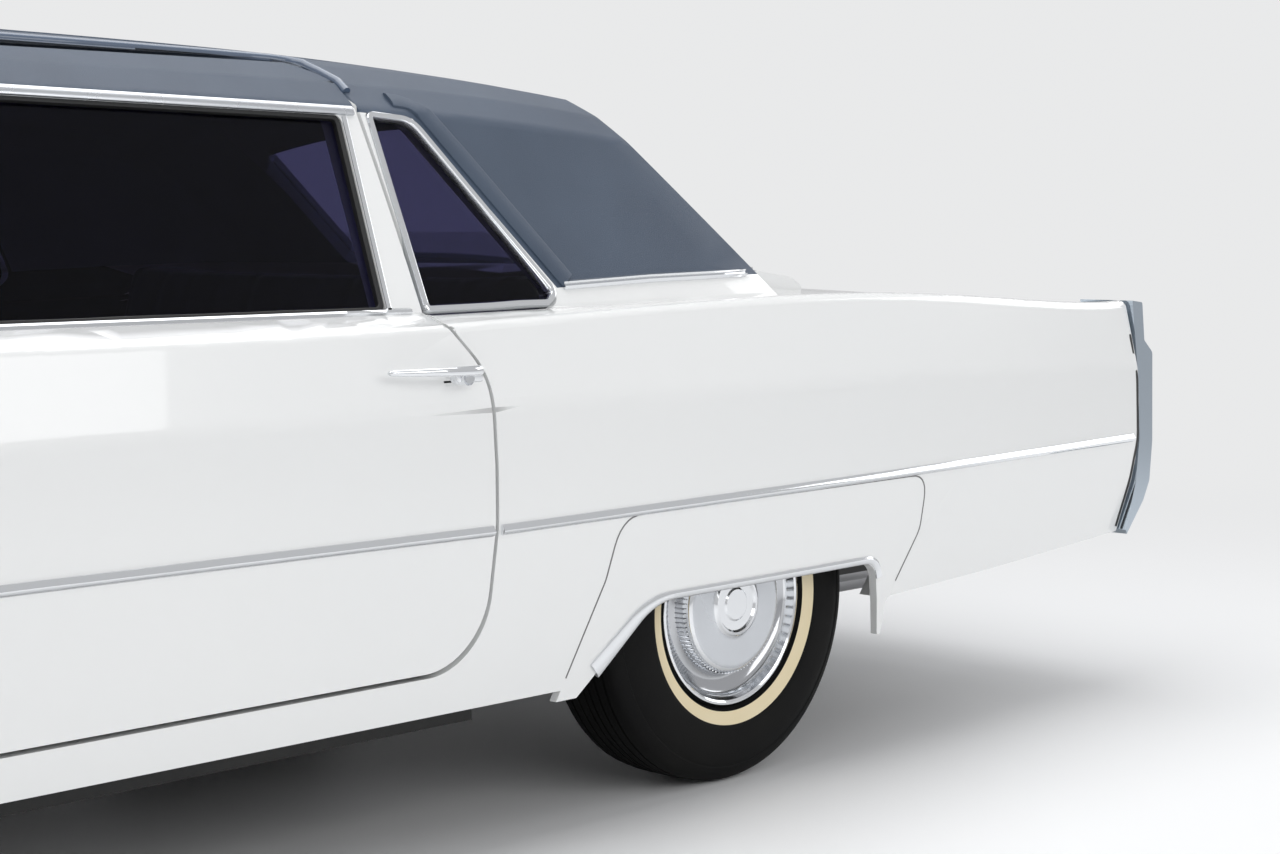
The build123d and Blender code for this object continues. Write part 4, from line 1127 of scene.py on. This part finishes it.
def makeHelm():
    turn = Vector(helm["axis"]).to_track_quat("Z", "Y").to_euler()
    parts = []
    for radius, grip, material in ((helm["radius"], helm["grip"], cabinTrim),
                                   (helm["hornRadius"], helm["hornGrip"], chrome)):
        ring = addShape("torus", location=helm["centre"], rotation=turn, major_radius=radius, minor_radius=grip,
                        major_segments=72, minor_segments=14)
        applyPlace(ring)
        ring.data.materials.append(material)
        smoothShade(ring, 60)
        parts.append(ring)
    hub = addShape("cylinder", vertices=40, radius=helm["hubRadius"], depth=helm["hubDepth"], rotation=turn,
                   location=Vector(helm["centre"]) - Vector(helm["axis"]) * 0.01)
    applyPlace(hub)
    easeEdges(hub, 0.008, 3)
    hub.data.materials.append(chrome)
    smoothShade(hub, 45)
    parts.append(hub)
    for sign in (1, -1):
        place = Vector(helm["centre"]) + Vector((0, sign * helm["spokeY"], 0)) - Vector(helm["axis"]) * 0.008
        parts.append(easedBlock("spoke", place, helm["spoke"], 0.004, cabinTrim, turn=turn))
    joinPieces(parts, parts[0])
    parts[0].name = "steering_wheel_detail"
    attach(parts[0], "steering_wheel")
    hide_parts("steering_wheel")


makeHelm()

# Inside: bright strips on the dashboard, an armrest and pull on each door
dashTree = treeOf(["dashboard"])
for name, z in (("dash_strip_upper", 0.868), ("dash_strip_lower", 0.79)):
    acrossEnd(name, 1.2, z, 0.74, (1, 0, 0), halfRound(0.009, 0.004, 0.002), satinTrim, dashTree)
armrests = {"front": (0.98, 0.4), "rear": (-0.18, 0.46)}
doorInner = treeOf([f"door_{end}_left" for end in ("front", "rear")])
for end, (x, length) in armrests.items():
    wall = castOn(doorInner, (x, 0.5, 0.66), (0, 1, 0))[0]
    rest = easedBlock("armrest", (x, wall.y - 0.02, 0.66), (length, 0.046, 0.062), 0.018, cabinTrim, 4)
    bothSides(rest, f"{end}_armrest", f"door_{end}_SIDE")
    pull = easedBlock("pull", (x - length * 0.38, wall.y - 0.008, 0.76), (0.105, 0.018, 0.016), 0.006, chrome, 3)
    bothSides(pull, f"{end}_inner_pull", f"door_{end}_SIDE")
print("cabin dressed")


# Floor, backdrop, lights and camera
def stagePlane(name, size, place, turn, colour):
    plane = addShape("plane", size=size, location=place, rotation=turn)
    plane.name = name
    applyPlace(plane)
    material, tree, shader = newMaterial(name)
    shader.inputs["Roughness"].default_value = studio["floorRough"]
    shader.inputs["Specular IOR Level"].default_value = studio["floorSpecular"]
    noise = addNode(tree, "ShaderNodeTexNoise", Scale=1.2, Detail=2.0)
    coords = addNode(tree, "ShaderNodeTexCoord")
    mix = addNode(tree, "ShaderNodeMix", data_type="RGBA")
    mix.inputs[6].default_value = colour
    mix.inputs[7].default_value = (*[c * 1.03 for c in colour[:3]], 1)
    wire(tree, (coords, "Object", noise, "Vector"), (noise, "Fac", mix, 0), (mix, 2, shader, "Base Color"))
    # away from the car the floor fades into the pale backdrop, as a studio sweep does
    reach = addNode(tree, "ShaderNodeVectorMath", operation="LENGTH")
    fade = addNode(tree, "ShaderNodeMapRange", interpolation_type="SMOOTHSTEP")
    fade.inputs["From Min"].default_value = studio["fadeStart"]
    fade.inputs["From Max"].default_value = studio["fadeEnd"]
    fade.inputs["To Max"].default_value = 1.0
    paths = addNode(tree, "ShaderNodeLightPath")
    seen = addNode(tree, "ShaderNodeMath", operation="MULTIPLY")
    glow = addNode(tree, "ShaderNodeEmission", Color=studio["floorGlow"], Strength=1.0)
    blend = addNode(tree, "ShaderNodeMixShader")
    wire(tree, (coords, "Object", reach, 0), (reach, "Value", fade, "Value"), (fade, "Result", seen, 0),
         (paths, "Is Camera Ray", seen, 1), (seen, 0, blend, 0), (shader, 0, blend, 1), (glow, 0, blend, 2),
         (blend, 0, tree.nodes["Material Output"], "Surface"))
    plane.data.materials.append(material)
    return plane


stagePlane("Studio floor", 240, (0, 0, 0), (0, 0, 0), studio["floorColour"])


def makeWorld():
    world = bpy.data.worlds.new("Studio air")
    bpy.context.scene.world = world
    world.use_nodes = True
    tree = world.node_tree
    background = tree.nodes["Background"]
    background.inputs["Color"].default_value = studio["airColour"]
    background.inputs["Strength"].default_value = studio["airStrength"]
    seen = tree.nodes.new("ShaderNodeBackground")
    seen.inputs["Color"].default_value = studio["backdropColour"]
    seen.inputs["Strength"].default_value = 1.0
    paths = tree.nodes.new("ShaderNodeLightPath")
    mix = tree.nodes.new("ShaderNodeMixShader")
    both = addNode(tree, "ShaderNodeMath", operation="MAXIMUM")
    wire(tree, (paths, "Is Camera Ray", both, 0), (paths, "Is Transmission Ray", both, 1), (both, 0, mix, 0),
         (background, 0, mix, 1), (seen, 0, mix, 2), (mix, 0, tree.nodes["World Output"], "Surface"))


def softLight(name, place, aim, width, height, power):
    deselectAll()
    bpy.ops.object.light_add(type="AREA", location=place)
    lamp = bpy.context.object
    lamp.name = name
    lamp.data.shape = "RECTANGLE"
    lamp.data.size = width
    lamp.data.size_y = height
    lamp.data.energy = power
    lamp.rotation_euler = (Vector(aim) - Vector(place)).to_track_quat("-Z", "Y").to_euler()


makeWorld()
softLight("Ceiling bank", (0.0, 0.0, 5.2), (0, 0, 0), 9.0, 4.0, 230)
softLight("Left bank", (-0.5, 6.5, 3.2), (-0.5, 0, 0.6), 8.0, 2.2, 105)
softLight("Rear bank", (-7.5, 1.5, 3.0), (-1.5, 0, 0.6), 4.0, 2.2, 48)


def makeCamera():
    deselectAll()
    bpy.ops.object.camera_add(location=studio["cameraPlace"])
    camera = bpy.context.object
    yaw, pitch = math.radians(studio["cameraYaw"]), math.radians(studio["cameraPitch"])
    look = Vector((math.cos(yaw) * math.cos(pitch), math.sin(yaw) * math.cos(pitch), math.sin(pitch)))
    camera.rotation_euler = look.to_track_quat("-Z", "Y").to_euler()
    camera.data.lens = studio["lens"]
    camera.data.sensor_width = 36
    camera.data.clip_end = 200
    bpy.context.scene.camera = camera


makeCamera()
bpy.context.scene.view_settings.view_transform = "Standard"
print("studio ready")
